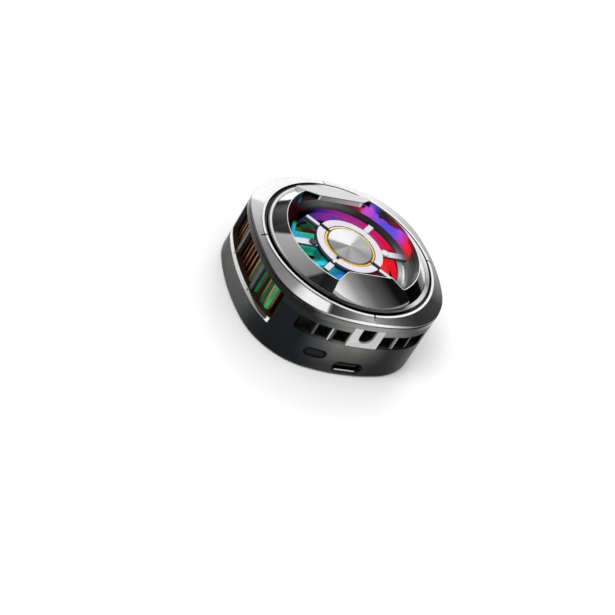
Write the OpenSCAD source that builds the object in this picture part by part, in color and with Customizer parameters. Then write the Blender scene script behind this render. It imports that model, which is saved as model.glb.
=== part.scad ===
// Magnetic phone cooler: fan, heat sink and Peltier cell in a rounded-square drum.
// Millimetres. The origin is the middle of the underside, +Z is up, and the port faces -Y.

/* [Body] */
// Width across two opposite faces
body_w = 57; // [56:0.5:60]
// Radius of the gentle bulge of each face
side_r = 60; // [50:1:80]
// Radius of the four corners
corner_r = 20; // [19:0.5:22]
// Height of the top edge of the housing wall
body_h = 18.2; // [17.8:0.1:19.5]
// Thickness of the housing wall
wall = 1.4; // [1.2:0.1:1.6]
// Radius of the four corner columns inside the housing
column_r = 2.2; // [2:0.1:2.4]

/* [Base] */
// Thickness of the soft contact pad under the body
pad_t = 0.6; // [0.4:0.1:1]
// Distance of the pad's edge inside the body's edge
pad_inset = 0.8; // [0.4:0.1:1.2]
// Radius of the cold plate
cold_r = 16.5; // [15.8:0.1:16.8]
// Thickness of the thermal film under the cold plate
film_t = 0.5; // [0.3:0.1:0.6]
// Thickness of the plastic skin under the magnets
skin_t = 0.3; // [0.3:0.05:0.6]
// Thickness of the magnets
magnet_t = 1.1; // [0.8:0.1:1.4]
// Radial width of the magnets
magnet_w = 3.5; // [2.8:0.1:3.6]
// Angle that one magnet spans, in degrees
magnet_angle = 19; // [14:1:20]
// Thickness of the steel ring behind the magnets
shield_t = 0.4; // [0.3:0.05:0.6]
// Width of the rim of the base outside the magnets
rim_w = 1.5; // [1.4:0.1:1.8]

/* [Cooling] */
// Thickness of the cold plate's flange
flange_t = 0.5; // [0.4:0.05:0.8]
// Reach of the cold plate's flange past the plate
flange_w = 1.1; // [0.9:0.1:1.2]
// Width of the square Peltier cell
cell_w = 22; // [18:0.5:23]
// Height of the Peltier cell
cell_h = 3.4; // [3.2:0.1:3.8]
// Thickness of each ceramic plate of the cell
ceramic_t = 0.8; // [0.6:0.05:0.9]
// Pellets along one edge of the cell
pellets = 8; // [6:1:9]
// Width of one pellet
pellet_w = 1.4; // [1:0.1:1.6]
// Thickness of the heat sink's base
sink_t = 1.5; // [1.2:0.1:1.8]
// Distance of the heat sink's edges inside the vented faces
sink_edge = 8; // [7.9:0.1:9.5]
// Distance between two fins
fin_pitch = 2; // [1.6:0.05:2.4]
// Thickness of one fin
fin_t = 0.7; // [0.5:0.05:0.9]
// X of the heat sink's screws
sink_screw_x = 15.6; // [15.4:0.1:16]
// Y of the heat sink's screws
sink_screw_y = 12; // [11.8:0.1:12.4]
// Radius of the posts that carry the heat sink
sink_post_r = 1.8; // [1.6:0.1:1.9]

/* [Electronics] */
// Thickness of the control board
board_t = 1; // [0.8:0.1:1.2]
// Height of the control board above the floor
board_lift = 0.3; // [0.2:0.05:0.5]
// Gap between the ends of the control board and the columns
board_gap = 2.35; // [1.5:0.05:3.5]
// Distance of the board's inner edge from the port face
board_in = 13.9; // [13:0.1:14]
// X of the board's screws
board_screw_x = 7.5; // [7:0.1:8]
// Distance of the board's screws from the port face
board_screw_in = 10.3; // [9.9:0.1:10.4]
// Height of the middle of the port
port_z = 3.1; // [3:0.1:3.4]
// Outer width of the port's metal shell
shell_w = 8.94; // [8.8:0.02:9.1]
// Outer height of the port's metal shell
shell_h = 3.26; // [3.1:0.02:3.4]
// Length of the port's metal shell
shell_l = 7.3; // [6.8:0.1:7.6]
// Thickness of the port's metal shell
shell_t = 0.3; // [0.25:0.01:0.35]
// Depth of the shell's mouth behind the face of the body
port_recess = 0.6; // [0.3:0.1:0.9]
// Width of the bevel round the port
port_bevel = 0.3; // [0.2:0.05:0.5]

/* [Button] */
// X of the middle of the button
button_x = -11.3; // [-12:0.1:-10.5]
// Height of the middle of the button
button_z = 6.2; // [6:0.1:6.4]
// Width of the button
button_w = 6.5; // [5.5:0.1:7]
// Height of the button
button_h = 3; // [2.6:0.1:3.2]
// Depth of the button's face behind the face of the body
button_recess = 0.25; // [0.1:0.05:0.4]
// Travel of the button
button_travel = 0.4; // [0.3:0.05:0.5]
// Thickness of the flange that keeps the button in
button_flange_t = 0.6; // [0.5:0.05:0.7]
// Reach of that flange past the button
button_flange_w = 0.6; // [0.4:0.05:0.7]
// Radius of the switch plunger
plunger_r = 0.8; // [0.6:0.05:0.9]
// Width of the switch
switch_w = 4.4; // [4:0.1:4.6]
// Depth of the switch
switch_d = 2.6; // [2.4:0.1:2.7]

/* [Windows] */
// Height of the bottom of the side windows
window_z = 7.2; // [7:0.1:8]
// Mean distance of the ends of a side window from the vented faces
window_end = 10.9; // [10.7:0.1:12.5]
// Shift of the windows towards the port
window_shift = 1.5; // [0:0.1:1.6]
// Height of the bright sill in a window
sill_h = 1.7; // [1.4:0.1:2]
// How far the sill stands proud of the body
sill_proud = 0.2; // [0.1:0.05:0.3]
// Distance of a window post from the window's middle
post_y = 7; // [6:0.1:8]
// Width of a window post
post_w = 1.3; // [1:0.1:1.6]
// Depth of a window post behind the face of the body
post_recess = 0.3; // [0.1:0.05:0.5]
// Width of the notches in the sill
notch_w = 0.5; // [0.3:0.05:0.7]

/* [Vents] */
// Distance of the top of the vents below the top edge of the housing wall
vent_drop = 1.9; // [1.7:0.1:2.3]
// Height of a vent
vent_h = 4.9; // [4.5:0.1:5]
// Distance of the ends of the vent row from the side faces
vent_end = 8.7; // [8.5:0.1:9.5]
// Radius of the corners of the vents
vent_corner_r = 0.8; // [0.4:0.1:1]
// Width of the bright clip in the middle of the vents
clip_w = 9.6; // [9:0.1:10.5]
// Width of the round notch in the clip
clip_notch_w = 4.6; // [4:0.1:5]
// Metal left under the notch of the clip
clip_sole = 1.7; // [1.4:0.1:2]
// X of the wide ribs of the vents
wide_rib_x = 9.8; // [9.2:0.1:10.4]
// Width of the wide ribs
wide_rib_w = 1.1; // [0.9:0.1:1.3]
// Distance of the thin ribs from the ends of the rails
thin_rib_in = 2.15; // [1.8:0.05:2.6]
// Width of the thin ribs
thin_rib_w = 0.6; // [0.4:0.1:0.8]
// Depth of the ribs behind the face of the body
rib_recess = 0.4; // [0.2:0.05:0.6]
// Height of the rails that join the ribs behind the wall
rail_h = 1.1; // [0.9:0.1:1.3]
// Thickness of those rails
rail_t = 0.8; // [0.6:0.1:0.9]

/* [Fan] */
// Thickness of the fan frame's deck
deck_t = 1.4; // [1.3:0.1:1.8]
// Thickness of the duct's wall
duct_t = 1; // [0.8:0.1:1.2]
// Depth of the duct under the deck
duct_drop = 3.6; // [3.4:0.1:3.8]
// Thickness of the arms and plate that carry the motor
spider_t = 1; // [0.8:0.1:1.1]
// Width of each of those arms
spider_w = 2.4; // [2:0.1:2.8]
// Outer radius of the motor's plate
motor_plate_r = 6.5; // [6:0.1:6.8]
// Thickness of the light ring in the duct
light_t = 0.8; // [0.6:0.05:0.9]
// Distance of the inner edge of the glossy lip over the duct from the blade tips
lip_gap = 0.5; // [0.4:0.1:0.8]
// Thickness of that lip
lip_t = 0.8; // [0.6:0.1:1]
// Number of fan blades
blades = 9; // [7:1:11]
// Radius of the blade tips
blade_r = 15.4; // [14.5:0.1:15.5]
// Height of the blades
blade_h = 3.3; // [2.8:0.1:3.4]
// Thickness of a blade
blade_t = 0.7; // [0.5:0.05:0.9]
// Slope of the blades from level, in degrees
blade_pitch = 38; // [32:1:48]
// Outer radius of the rotor hub
hub_r = 8.2; // [8:0.1:8.6]
// Thickness of the rotor hub's wall and top
hub_t = 0.9; // [0.8:0.05:1]
// Thickness of the rotor's steel cup
yoke_t = 0.5; // [0.4:0.05:0.6]
// Thickness of the rotor magnet
rotor_magnet_t = 0.6; // [0.5:0.05:0.7]
// Radius of the shaft
shaft_r = 0.75; // [0.6:0.05:0.85]
// Outer radius of the bearing
bearing_r = 1.5; // [1.4:0.05:1.6]
// Thickness of the tube round the bearing
bearing_tube_t = 0.7; // [0.6:0.05:0.8]
// Number of poles of the stator
poles = 6; // [6:1:6]
// Height of the stator's iron
stator_h = 1.4; // [1.2:0.1:1.6]

/* [Hub guard] */
// Radius of the guard's dark base
guard_r = 10.3; // [10:0.1:10.8]
// Thickness of the guard's base
guard_t = 0.8; // [0.7:0.1:1]
// Height of the guard above the lip
guard_lift = 0.3; // [0.2:0.05:0.5]
// Radial width of the white ring
white_ring_w = 2.3; // [2:0.1:2.5]
// Thickness of the white ring
white_ring_t = 0.8; // [0.6:0.1:1]
// Width of the gaps between the arcs of the white ring
white_gap = 0.9; // [0.6:0.1:1.2]
// Width of the gaps at the slim pointers
slim_gap = 1.5; // [1.2:0.1:1.8]
// Radial width of the gold ring
gold_w = 0.55; // [0.4:0.05:0.7]
// Thickness of the cap in the middle
cap_t = 0.95; // [0.8:0.05:1.2]
// Distance of the ends of the pointers from the lip
pointer_gap = 1; // [0.7:0.1:1.9]
// Width of the pointers
pointer_w = 1.7; // [1.4:0.1:2]
// Width of the slim pointers between them
pointer_slim = 1.2; // [1:0.1:1.4]
// Height of the pointers
pointer_t = 0.8; // [0.6:0.1:1]
// Gap between the ends of the two arms and the liner of the mouth
arm_gap = 1.6; // [0.8:0.1:2.4]
// Width of the arms
arm_w = 2.2; // [1.8:0.1:2.6]

/* [Top] */
// Distance of the bezel's bright crest inside the faces
crest_edge = 2; // [1.7:0.1:2.1]
// Radial width of the crest
crest_w = 0.7; // [0.5:0.05:0.8]
// Height of the bezel's cone at the crest above the deck
crest_rise = 1.8; // [1.6:0.1:2]
// Height of the crest above the cone
crest_t = 0.3; // [0.2:0.05:0.4]
// Fall of the bezel's cone for each millimetre outwards
cone_fall = 0.2; // [0.1:0.05:0.25]
// Thickness of the bezel's skirt
skirt_t = 1.6; // [1.5:0.1:1.8]
// Width of the groove between crest and inner ring
moat_w = 0.9; // [0.7:0.05:1]
// Radial width of the grey inner ring
inner_ring_w = 1.2; // [1:0.05:1.3]
// Radial width of the cowl's cone
cone_w = 3.2; // [2.8:0.1:3.3]
// Height of the cowl's opening above the deck
mouth_rise = 5.4; // [5.2:0.1:5.6]
// Height of the foot of the cowl's cone above the deck
cowl_rise = 2.4; // [2.2:0.1:2.5]
// Vertical thickness of the cowl's cone
cowl_t = 1.7; // [1.6:0.1:1.8]
// Reach of the tabs inside the cowl's opening
tab_reach = 5.4; // [5.2:0.1:5.8]
// Half width of the tabs at their inner edges
tab_half_w = 7; // [6:0.1:7.5]
// Height of the tabs' inner edges above the deck
tab_rise = 6.6; // [6.5:0.1:6.9]
// Thickness of the tabs
tab_t = 1.2; // [1:0.1:1.3]

/* [Clearances] */
// Gap between two pieces that sit together
fit = 0.1; // [0.05:0.01:0.12]
// Gap between pressed or threaded pieces
press_gap = 0.04; // [0.02:0.01:0.06]
// Running gap of the shaft in its bearing
shaft_gap = 0.02; // [0.01:0.005:0.04]
// Gap round the button in its hole
button_gap = 0.15; // [0.1:0.01:0.2]
// Air gap round inner pieces
air = 0.5; // [0.4:0.05:0.6]
// Air gap round the spinning pieces
spin_gap = 0.3; // [0.25:0.05:0.4]
// Gap between the blade tips and the light ring
tip_gap = 1.2; // [1:0.05:1.4]

/* [Hidden] */
$fn = 96;

// How far a cut runs past the face that it opens
over = 1;

// Plan outline
half = body_w / 2;
side_off = side_r - half;
corner_c = (sqrt(2 * pow(side_r - corner_r, 2) - pow(side_off, 2)) - side_off) / 2;
corner_d = corner_c * sqrt(2) + corner_r;
column_sink = 0.3;
column_d = corner_d - wall - column_r + column_sink;
column_xy = column_d / sqrt(2);
// Nothing but the wall lies outside this distance on a face
wall_zone = column_xy + column_r + fit;
sink_half_w = half - sink_edge;
window_half_l = half - window_end;
vent_half_l = half - vent_end;

// Top, from the faces inwards
crest_r = half - crest_edge;
crest_in = crest_r - crest_w;
cowl_r = crest_in - moat_w;
cone_r = cowl_r - inner_ring_w - fit;
mouth_r = cone_r - cone_w;
tab_y = mouth_r - tab_reach;

// Fan duct, from the blade tips outwards
light_in = blade_r + tip_gap;
duct_r = light_in + light_t + fit;
lip_r = blade_r + lip_gap;

// Heights from the table upwards
floor_t = skin_t + magnet_t + shield_t;
z_magnet = pad_t + skin_t;
z_shield = z_magnet + magnet_t;
z_floor = pad_t + floor_t;
z_plate = z_floor + flange_t;
z_sink = z_plate + cell_h;
z_fin = z_sink + sink_t;
z_board = z_floor + board_lift;
z_board_top = z_board + board_t;
z_deck = body_h;
// Top of the columns, just below the wall's edge
z_column = z_deck - fit;
z_deck_top = z_deck + deck_t;
z_duct = z_deck - duct_drop;
z_spider = z_duct + spider_t;
z_lip = z_deck_top + lip_t;
z_guard = z_lip + guard_lift;
z_guard_top = z_guard + guard_t;
z_crest = z_deck_top + crest_rise;
z_mouth = z_deck_top + mouth_rise;
z_cowl = z_deck_top + cowl_rise;
z_tab = z_deck_top + tab_rise;
z_sill = window_z + sill_h;
vent_top = body_h - vent_drop;
vent_z = vent_top - vent_h;

// Screws
screw_r = 0.8;
screw_hole_r = screw_r + press_gap;
screw_pass_r = screw_r + 2 * fit;
screw_head_r = 1.7;
screw_head_t = 1;
screw_pocket_r = screw_head_r + 1.5 * fit;
screw_l = 5;
drive_l = 2;
drive_w = 0.45;
drive_d = 0.5;

// Base
magnet_out = half - wall - fit - rim_w;
magnet_in = magnet_out - magnet_w;
magnet_gap_angle = 2;
foam_r = cold_r + flange_w - 2 * fit;
board_half_w = column_xy - column_r - board_gap;
board_y = half - board_in;
board_screw_y = half - board_screw_in;
board_boss_r = 1.6;
board_head_r = 1.4;

// Fins fill the half width of the heat sink evenly
fin_count = 2 * floor((sink_half_w - fin_t / 2) / fin_pitch) + 1;
fin_r = duct_r + duct_t + air;
z_fin_low = z_duct - air;
z_fin_high = z_deck - spin_gap;

// Electronics
shell_y = -half + port_recess;
shell_inner_y = shell_y + shell_l;
tongue_w = 6.7;
tongue_t = 0.7;
tongue_l = 5;
lead_r = 0.5;
cell_lead_x = 3;
fan_lead_x = 7.2;
fan_lead_gap = 1.1;
fan_lead_in = 5.8;
fan_lead_y = -half + fan_lead_in;
// Driver, coil and two capacitors: distance from the board's right-hand end and from the port face,
// width and height
chips = [[4.4, 7.9, 3.6, 1.6], [2.8, 11.8, 2.6, 0.9], [21.6, 5.9, 2.2, 1.1], [28.2, 11.3, 2, 1.4]];
solder_l = 1.4;

// Button, measured inwards from the face
button_a = asin(button_x / side_r);
// Bow of the corner behind the ends of the flange
flange_bow = pow(button_w / 2 + button_flange_w, 2) / (2 * (corner_r - wall));
flange_y = wall + flange_bow;
stem_y = flange_y + button_flange_t;
stem_l = 0.4;
plunger_y = stem_y + stem_l;
switch_y = plunger_y + button_travel + spin_gap;
plunger_in = 1;

// Fan
z_light = z_spider + 2 * fit;
z_blade = z_spider + spin_gap;
hub_rise = 0.6;
z_hub_top = z_blade + blade_h + hub_rise;
yoke_r = hub_r - hub_t - press_gap;
z_yoke = z_hub_top - hub_t;
rotor_magnet_r = yoke_r - yoke_t - press_gap;
stator_r = rotor_magnet_r - rotor_magnet_t - spin_gap;
bearing_tube_r = bearing_r + press_gap + bearing_tube_t;
stator_in = bearing_tube_r + press_gap;
washer_t = 0.15;
z_bearing = z_duct + spider_t / 2;
z_bearing_top = z_yoke - yoke_t - washer_t - fit;
z_coil = z_spider + spin_gap;
coil_h = z_yoke - yoke_t - spin_gap - z_coil;
z_stator = z_coil + (coil_h - stator_h) / 2;
tooth_w = 1;
shoe_t = 0.7;

// Guard
white_ring_r = guard_r - fit;
gold_r = white_ring_r - white_ring_w - 2 * fit;
cap_r = gold_r - gold_w - 1.5 * fit;
pointer_r = lip_r - pointer_gap;
pointer_in = 0.9;
arm_r = mouth_r - arm_gap;
stub_w = 1;
foot_l = 2.4;
arm_screw_r = 1.15;
arm_screw_t = 0.5;

// Top
cowl_slope = (mouth_rise - cowl_rise) / cone_w;
collar_t = 0.6;
collar_w = 0.4;
collar_r = crest_in + collar_w;
foot_w = 0.7;
foot_r = cowl_r - foot_w;
z_step = z_cowl - 2 * collar_t;
skirt_groove_z = z_deck_top + 0.2;
skirt_groove_h = 0.25;
skirt_groove_d = 0.3;
edge_in = 0.1;
slit_w = 0.5;
slit_d = 0.4;
peg_r = 0.9;
peg_root = 0.4;
peg_a = 9;
liner_t = 0.8;
liner_r = mouth_r + liner_t;
led_in = liner_r + spin_gap;
led_w = 1.7;
led_board_t = 0.4;
led_count = 12;
led_size = [1.2, 1.4, 0.5];
// Height of the tabs' outer edges above the foot of the cone
tab_foot = 0.15;
tab_slope = (tab_rise - cowl_rise - tab_foot) / (cone_r - tab_y);
z_tab_foot = z_cowl + tab_foot;
tab_lip_h = 0.6;
// Step from the inner corners of a tab to its shoulders, across and outwards
tab_shoulder = [3.5, 2.9];

// Outline of the body, moved inwards by inset: four face arcs and four corner arcs
module plan(inset = 0) {
    reach = body_w * [corner_c + side_off, corner_c] / (corner_c + side_off);
    turn = [corner_c + reach[0], corner_c + reach[1]];
    for (q = [0:3]) rotate(90 * q) {
        intersection() {
            translate([-side_off, 0]) circle(r = side_r - inset);
            polygon([[0, 0], [corner_c, -corner_c], [turn[0], -turn[1]], turn, [corner_c, corner_c]]);
        }
        intersection() {
            translate([corner_c, corner_c]) circle(r = corner_r - inset);
            polygon([[corner_c, corner_c], turn, [turn[0], turn[0]], [turn[1], turn[0]]]);
        }
    }
}

module slab(inset, z0, z1) {
    translate([0, 0, z0]) linear_extrude(z1 - z0) plan(inset);
}

module band(inset_out, inset_in, z0, z1) {
    difference() {
        slab(inset_out, z0, z1);
        slab(inset_in, z0 - over, z1 + over);
    }
}

module disc(r, z0, z1) {
    translate([0, 0, z0]) cylinder(r = r, h = z1 - z0);
}

module ring(r_in, r_out, z0, z1) {
    difference() {
        disc(r_out, z0, z1);
        disc(r_in, z0 - over, z1 + over);
    }
}

module block(x0, x1, y0, y1, z0, z1) {
    translate([x0, y0, z0]) cube([x1 - x0, y1 - y0, z1 - z0]);
}

// Flat-sided slot with round ends, run along Y
module pill(w, h, y0, y1) {
    translate([0, y0, 0]) rotate([-90, 0, 0]) linear_extrude(y1 - y0) {
        square([w - h, h], center = true);
        for (s = [-1, 1]) translate([s * (w - h) / 2, 0]) circle(d = h);
    }
}

// Rectangle with round corners, run along Y
module round_slot(w, h, r, y0, y1) {
    translate([0, y0, 0]) rotate([-90, 0, 0]) linear_extrude(y1 - y0) {
        square([w - 2 * r, h], center = true);
        square([w, h - 2 * r], center = true);
        for (i = [-1, 1], j = [-1, 1]) translate([i * (w / 2 - r), j * (h / 2 - r)]) circle(r = r);
    }
}

module at_columns() {
    for (q = [0:3]) rotate(90 * q + 45) translate([column_d, 0, 0]) children();
}

module at_sink_screws() {
    for (i = [-1, 1], j = [-1, 1]) translate([i * sink_screw_x, j * sink_screw_y, 0]) children();
}

module at_board_screws() {
    for (i = [-1, 1]) translate([i * board_screw_x, -board_screw_y, 0]) children();
}

// Local frame of the button: on the face, with +Y pointing inwards
module at_button() {
    translate([0, side_off, button_z]) rotate(button_a) translate([0, -side_r, 0]) children();
}

// Cross-head screw with the underside of its head at z = 0
module screw(l, head_r) {
    difference() {
        union() {
            disc(head_r, 0, screw_head_t);
            disc(screw_r, -l, screw_head_t / 2);
        }
        for (a = [0, 90]) rotate(a) translate([0, 0, screw_head_t])
            cube([drive_l, drive_w, 2 * drive_d], center = true);
    }
}

// Underside

module contact_pad() {
    color("#26282b") difference() {
        slab(pad_inset, 0, pad_t);
        disc(cold_r + 4 * fit, -over, pad_t + over);
    }
}

module thermal_film() {
    color("#8d9299") disc(cold_r - 4 * fit, 0, film_t);
}

module cold_plate() {
    color("#c9ccd0") {
        disc(cold_r, film_t, z_floor);
        disc(cold_r + flange_w, z_floor, z_plate);
    }
}

module port_pocket(z0, z1) {
    block(-shell_w / 2 - 2 * fit, shell_w / 2 + 2 * fit, -body_w, shell_inner_y + 2 * fit, z0, z1);
}

module base_cover() {
    color("#202225") {
        difference() {
            slab(wall + fit, pad_t, z_floor);
            disc(cold_r + fit, 0, z_floor + over);
            ring(magnet_in - fit, magnet_out + fit, z_magnet, z_floor + over);
            port_pocket(port_z - shell_h / 2 - fit, z_floor + over);
            at_columns() {
                disc(screw_pass_r, 0, z_floor + over);
                disc(screw_pocket_r, 0, pad_t + screw_head_t);
            }
            at_board_screws() disc(screw_hole_r, pad_t + skin_t, z_floor + over);
        }
        at_sink_screws() ring(screw_hole_r, sink_post_r, z_floor, z_sink);
        at_board_screws() ring(screw_hole_r, board_boss_r, z_floor, z_board);
    }
}

// Three magnets a side, with the middle one left out where the port is
module magnets() {
    color("#6f7378") for (face = [0:3], k = [-1:1]) if (face != 3 || k != 0) {
        start = 90 * face + k * (magnet_angle + magnet_gap_angle) - magnet_angle / 2;
        rotate(start) translate([0, 0, z_magnet]) rotate_extrude(angle = magnet_angle)
            translate([magnet_in, 0]) square([magnet_w, magnet_t]);
    }
}

module magnet_shield() {
    color("#a3a7ab") difference() {
        ring(magnet_in, magnet_out, z_shield, z_floor);
        port_pocket(z_shield - over, z_floor + over);
    }
}

module base_screws() {
    color("#8b8f94") at_columns() translate([0, 0, pad_t + screw_head_t]) mirror([0, 0, 1])
        screw(screw_l, screw_head_r);
}

// Body

// Notches for the two side windows, open at the top under the bezel
module window_cuts() {
    for (s = [0, 1]) mirror([s, 0, 0])
        block(wall_zone, half + over, -window_shift - window_half_l, -window_shift + window_half_l,
              window_z, body_h + over);
}

// Vent rows on the port face and on the face behind it
module vent_cuts() {
    for (a = [0, 180]) rotate(a) {
        translate([0, 0, vent_z + vent_h / 2])
            round_slot(2 * vent_half_l, vent_h, vent_corner_r, -half - over, -wall_zone);
        block(-clip_w / 2 - fit, clip_w / 2 + fit, -half - over, -wall_zone, vent_z, body_h + over);
    }
}

module port_cuts() {
    translate([0, 0, port_z]) {
        pill(shell_w + 4 * fit, shell_h + 4 * fit, -half - over, -half + wall + over);
        pill(shell_w + 4 * fit + 2 * port_bevel, shell_h + 4 * fit + 2 * port_bevel,
             -half - over, -half + port_bevel);
    }
    at_button() pill(button_w + 2 * button_gap, button_h + 2 * button_gap, -over, wall + over);
}

module housing() {
    color("#1c1e21") difference() {
        union() {
            band(0, wall, pad_t, body_h);
            at_columns() disc(column_r, z_floor, z_column);
        }
        window_cuts();
        vent_cuts();
        port_cuts();
        at_columns() {
            disc(screw_hole_r, z_floor - over, z_floor + screw_l);
            disc(screw_hole_r, z_column - screw_l, z_deck + over);
        }
    }
}

module window_zone(side, half_l, z0, z1) {
    x0 = wall_zone + fit;
    x1 = half + over;
    block(side < 0 ? -x1 : x0, side < 0 ? -x0 : x1, -window_shift - half_l, -window_shift + half_l, z0, z1);
}

// Bright strip that fills the bottom of a window, notched in front of the posts
module window_sill(side) {
    color("#d5d7da") difference() {
        intersection() {
            band(-sill_proud, wall, window_z, z_sill);
            window_zone(side, window_half_l - fit, window_z, z_sill);
        }
        for (j = [-1, 1]) translate([0, j * post_y - window_shift, 0])
            block(-body_w, body_w, -notch_w / 2, notch_w / 2, window_z + sill_h / 2, z_sill + over);
    }
}

module window_sill_left() { window_sill(-1); }

module window_sill_right() { window_sill(1); }

module window_posts(side) {
    color("#4a4d52") for (j = [-1, 1]) intersection() {
        band(post_recess, wall, z_sill, body_h);
        translate([0, j * post_y, 0]) window_zone(side, post_w / 2, z_sill, body_h);
    }
}

module window_posts_left() { window_posts(-1); }

module window_posts_right() { window_posts(1); }

// Part of the wall's thickness between two X values on the port face
module face_strip(inset_out, inset_in, x0, x1, z0, z1) {
    intersection() {
        band(inset_out, inset_in, z0, z1);
        block(x0, x1, -half - over, -half / 2, z0, z1);
    }
}

// Ribs and U-shaped clip of one vent row, joined by rails behind the wall
module vent_grille() {
    back = wall + fit + rail_t;
    rail_half_l = column_xy - column_r - air;
    thin_rib_x = rail_half_l - thin_rib_in;
    color("#c3c6ca") difference() {
        union() {
            for (z = [vent_z - rail_h, vent_top])
                face_strip(wall + fit, back, -rail_half_l, rail_half_l, z, z + rail_h);
            for (s = [-1, 1], rib = [[wide_rib_x, wide_rib_w], [thin_rib_x, thin_rib_w]]) {
                x0 = s * rib[0] - rib[1] / 2;
                face_strip(rib_recess, back, x0, x0 + rib[1], vent_z + fit, vent_top - fit);
                face_strip(wall + fit, back, x0, x0 + rib[1], vent_z - rail_h, vent_top + rail_h);
            }
            face_strip(0, back, -clip_w / 2, clip_w / 2, vent_z + fit, body_h);
            face_strip(wall + fit, back, -clip_w / 2, clip_w / 2, vent_z - rail_h, vent_z + rail_h);
        }
        clip_notch();
    }
}

module clip_notch() {
    z0 = vent_z + clip_sole + clip_notch_w / 2;
    translate([0, -half - over, z0]) rotate([-90, 0, 0]) cylinder(d = clip_notch_w, h = half);
    block(-clip_notch_w / 2, clip_notch_w / 2, -half - over, -over, z0, body_h + over);
}

module vent_grille_front() { vent_grille(); }

module vent_grille_rear() { rotate(180) vent_grille(); }

// Cooling core

module insulation_foam() {
    hole = cell_w / 2 + 3 * fit;
    color("#3a3b3e") difference() {
        disc(foam_r, z_plate, z_sink);
        block(-hole, hole, -hole, hole, z_plate - over, z_sink + over);
        for (s = [-1, 1]) translate([s * cell_lead_x, 0, 0])
            block(-lead_r - fit, lead_r + fit, -body_w, 0, z_plate - over, z_board_top + 2 * lead_r + fit);
    }
}

module peltier_ceramics() {
    w = cell_w / 2;
    color("#f1f1ee") for (z = [z_plate, z_sink - ceramic_t]) block(-w, w, -w, w, z, z + ceramic_t);
}

module peltier_pellets() {
    pitch = (cell_w - pellet_w - 2 * air) / (pellets - 1);
    color("#55585c") for (i = [0:pellets - 1], j = [0:pellets - 1])
        translate([(i - (pellets - 1) / 2) * pitch, (j - (pellets - 1) / 2) * pitch, 0])
            block(-pellet_w / 2, pellet_w / 2, -pellet_w / 2, pellet_w / 2,
                  z_plate + ceramic_t, z_sink - ceramic_t);
}

// Two wires from the cell to the top of the control board
module peltier_leads() {
    z = z_board_top + lead_r;
    y0 = -cell_w / 2 + air / 2;
    color("#b3312a") for (s = [-1, 1]) translate([s * cell_lead_x, y0, z]) rotate([90, 0, 0])
        cylinder(r = lead_r, h = foam_r + solder_l + y0);
}

// Base plate and straight fins that run from window to window
module heat_sink() {
    inset = wall + air;
    color("#a5673c") difference() {
        intersection() {
            slab(inset, z_sink, z_fin_high);
            union() {
                block(-half, half, -sink_half_w, sink_half_w, z_sink, z_fin);
                for (i = [0:fin_count - 1]) translate([0, (i - (fin_count - 1) / 2) * fin_pitch, 0])
                    block(-half, half, -fin_t / 2, fin_t / 2, z_sink, z_fin_high);
            }
        }
        disc(fin_r, z_fin_low, z_deck);
        at_columns() disc(column_r + air, z_sink - over, z_deck);
        at_sink_screws() {
            disc(screw_pass_r, z_sink - over, z_deck);
            disc(screw_head_r + air, z_fin, z_deck);
        }
    }
}

module sink_screws() {
    l = z_fin - z_floor - air;
    color("#8b8f94") at_sink_screws() translate([0, 0, z_fin]) screw(l, screw_head_r);
}

// Electronics

module control_board() {
    color("#14503a") difference() {
        intersection() {
            slab(wall + air, z_board, z_board_top);
            block(-board_half_w, board_half_w, -half, -board_y, z_board, z_board_top);
        }
        disc(foam_r + air, z_board - over, z_board_top + over);
        port_pocket(z_board - over, z_board_top + over);
        at_board_screws() disc(screw_pass_r, z_board - over, z_board_top + over);
    }
}

module board_screws() {
    l = z_board_top - z_magnet - fit;
    color("#8b8f94") at_board_screws() translate([0, 0, z_board_top]) screw(l, board_head_r);
}

module board_chips() {
    color("#2b2d30") for (c = chips)
        translate([board_half_w - c[0], c[1] - half, z_board_top + c[3] / 2])
            cube([c[2], c[2], c[3]], center = true);
}

module usb_shell() {
    tab = [1, 1, shell_t];
    color("#c4c7cb") {
        translate([0, 0, port_z]) difference() {
            pill(shell_w, shell_h, shell_y, shell_inner_y);
            pill(shell_w - 2 * shell_t, shell_h - 2 * shell_t, shell_y - over, shell_inner_y - shell_t);
        }
        for (s = [-1, 1], y = [shell_y + 0.4 * shell_l, shell_y + 0.8 * shell_l])
            translate([s * (shell_w / 2 + tab[0] / 2 - shell_t / 2), y, z_board_top + tab[2] / 2])
                cube(tab, center = true);
    }
}

// Contact tongue on the block that closes the back of the shell
module usb_tongue() {
    y1 = shell_inner_y - shell_t;
    gap = 2 * shell_t + 2 * press_gap;
    color("#17181a") translate([0, 0, port_z]) {
        pill(shell_w - gap, shell_h - gap, y1 - solder_l, y1);
        pill(tongue_w, tongue_t, y1 - solder_l - tongue_l, y1 - solder_l / 2);
    }
}

module tact_switch() {
    color("#2c2e31") at_button() difference() {
        block(-switch_w / 2, switch_w / 2, switch_y, switch_y + switch_d,
              z_board_top - button_z, button_h / 2);
        rotate([-90, 0, 0]) disc(plunger_r + fit, switch_y - over, switch_y + plunger_in + button_travel + fit);
    }
}

module switch_plunger() {
    color("#d9d2bf") at_button() rotate([-90, 0, 0]) disc(plunger_r, plunger_y, switch_y + plunger_in);
}

// Cap with the flange that holds it behind the wall and the stem that meets the switch
module power_button() {
    color("#2a2c2f") at_button() {
        pill(button_w, button_h, button_recess, stem_y);
        pill(button_w + 2 * button_flange_w, button_h + 2 * button_flange_w, flange_y + fit, stem_y);
        rotate([-90, 0, 0]) disc(plunger_r + fit, stem_y - fit, plunger_y);
    }
}

// Three upright wires from the board to the deck of the fan frame
module fan_leads() {
    color("#303236") for (k = [-1:1]) translate([fan_lead_x + k * fan_lead_gap, fan_lead_y, 0])
        disc(lead_r, z_board_top, z_deck);
}

// Fan

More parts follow.
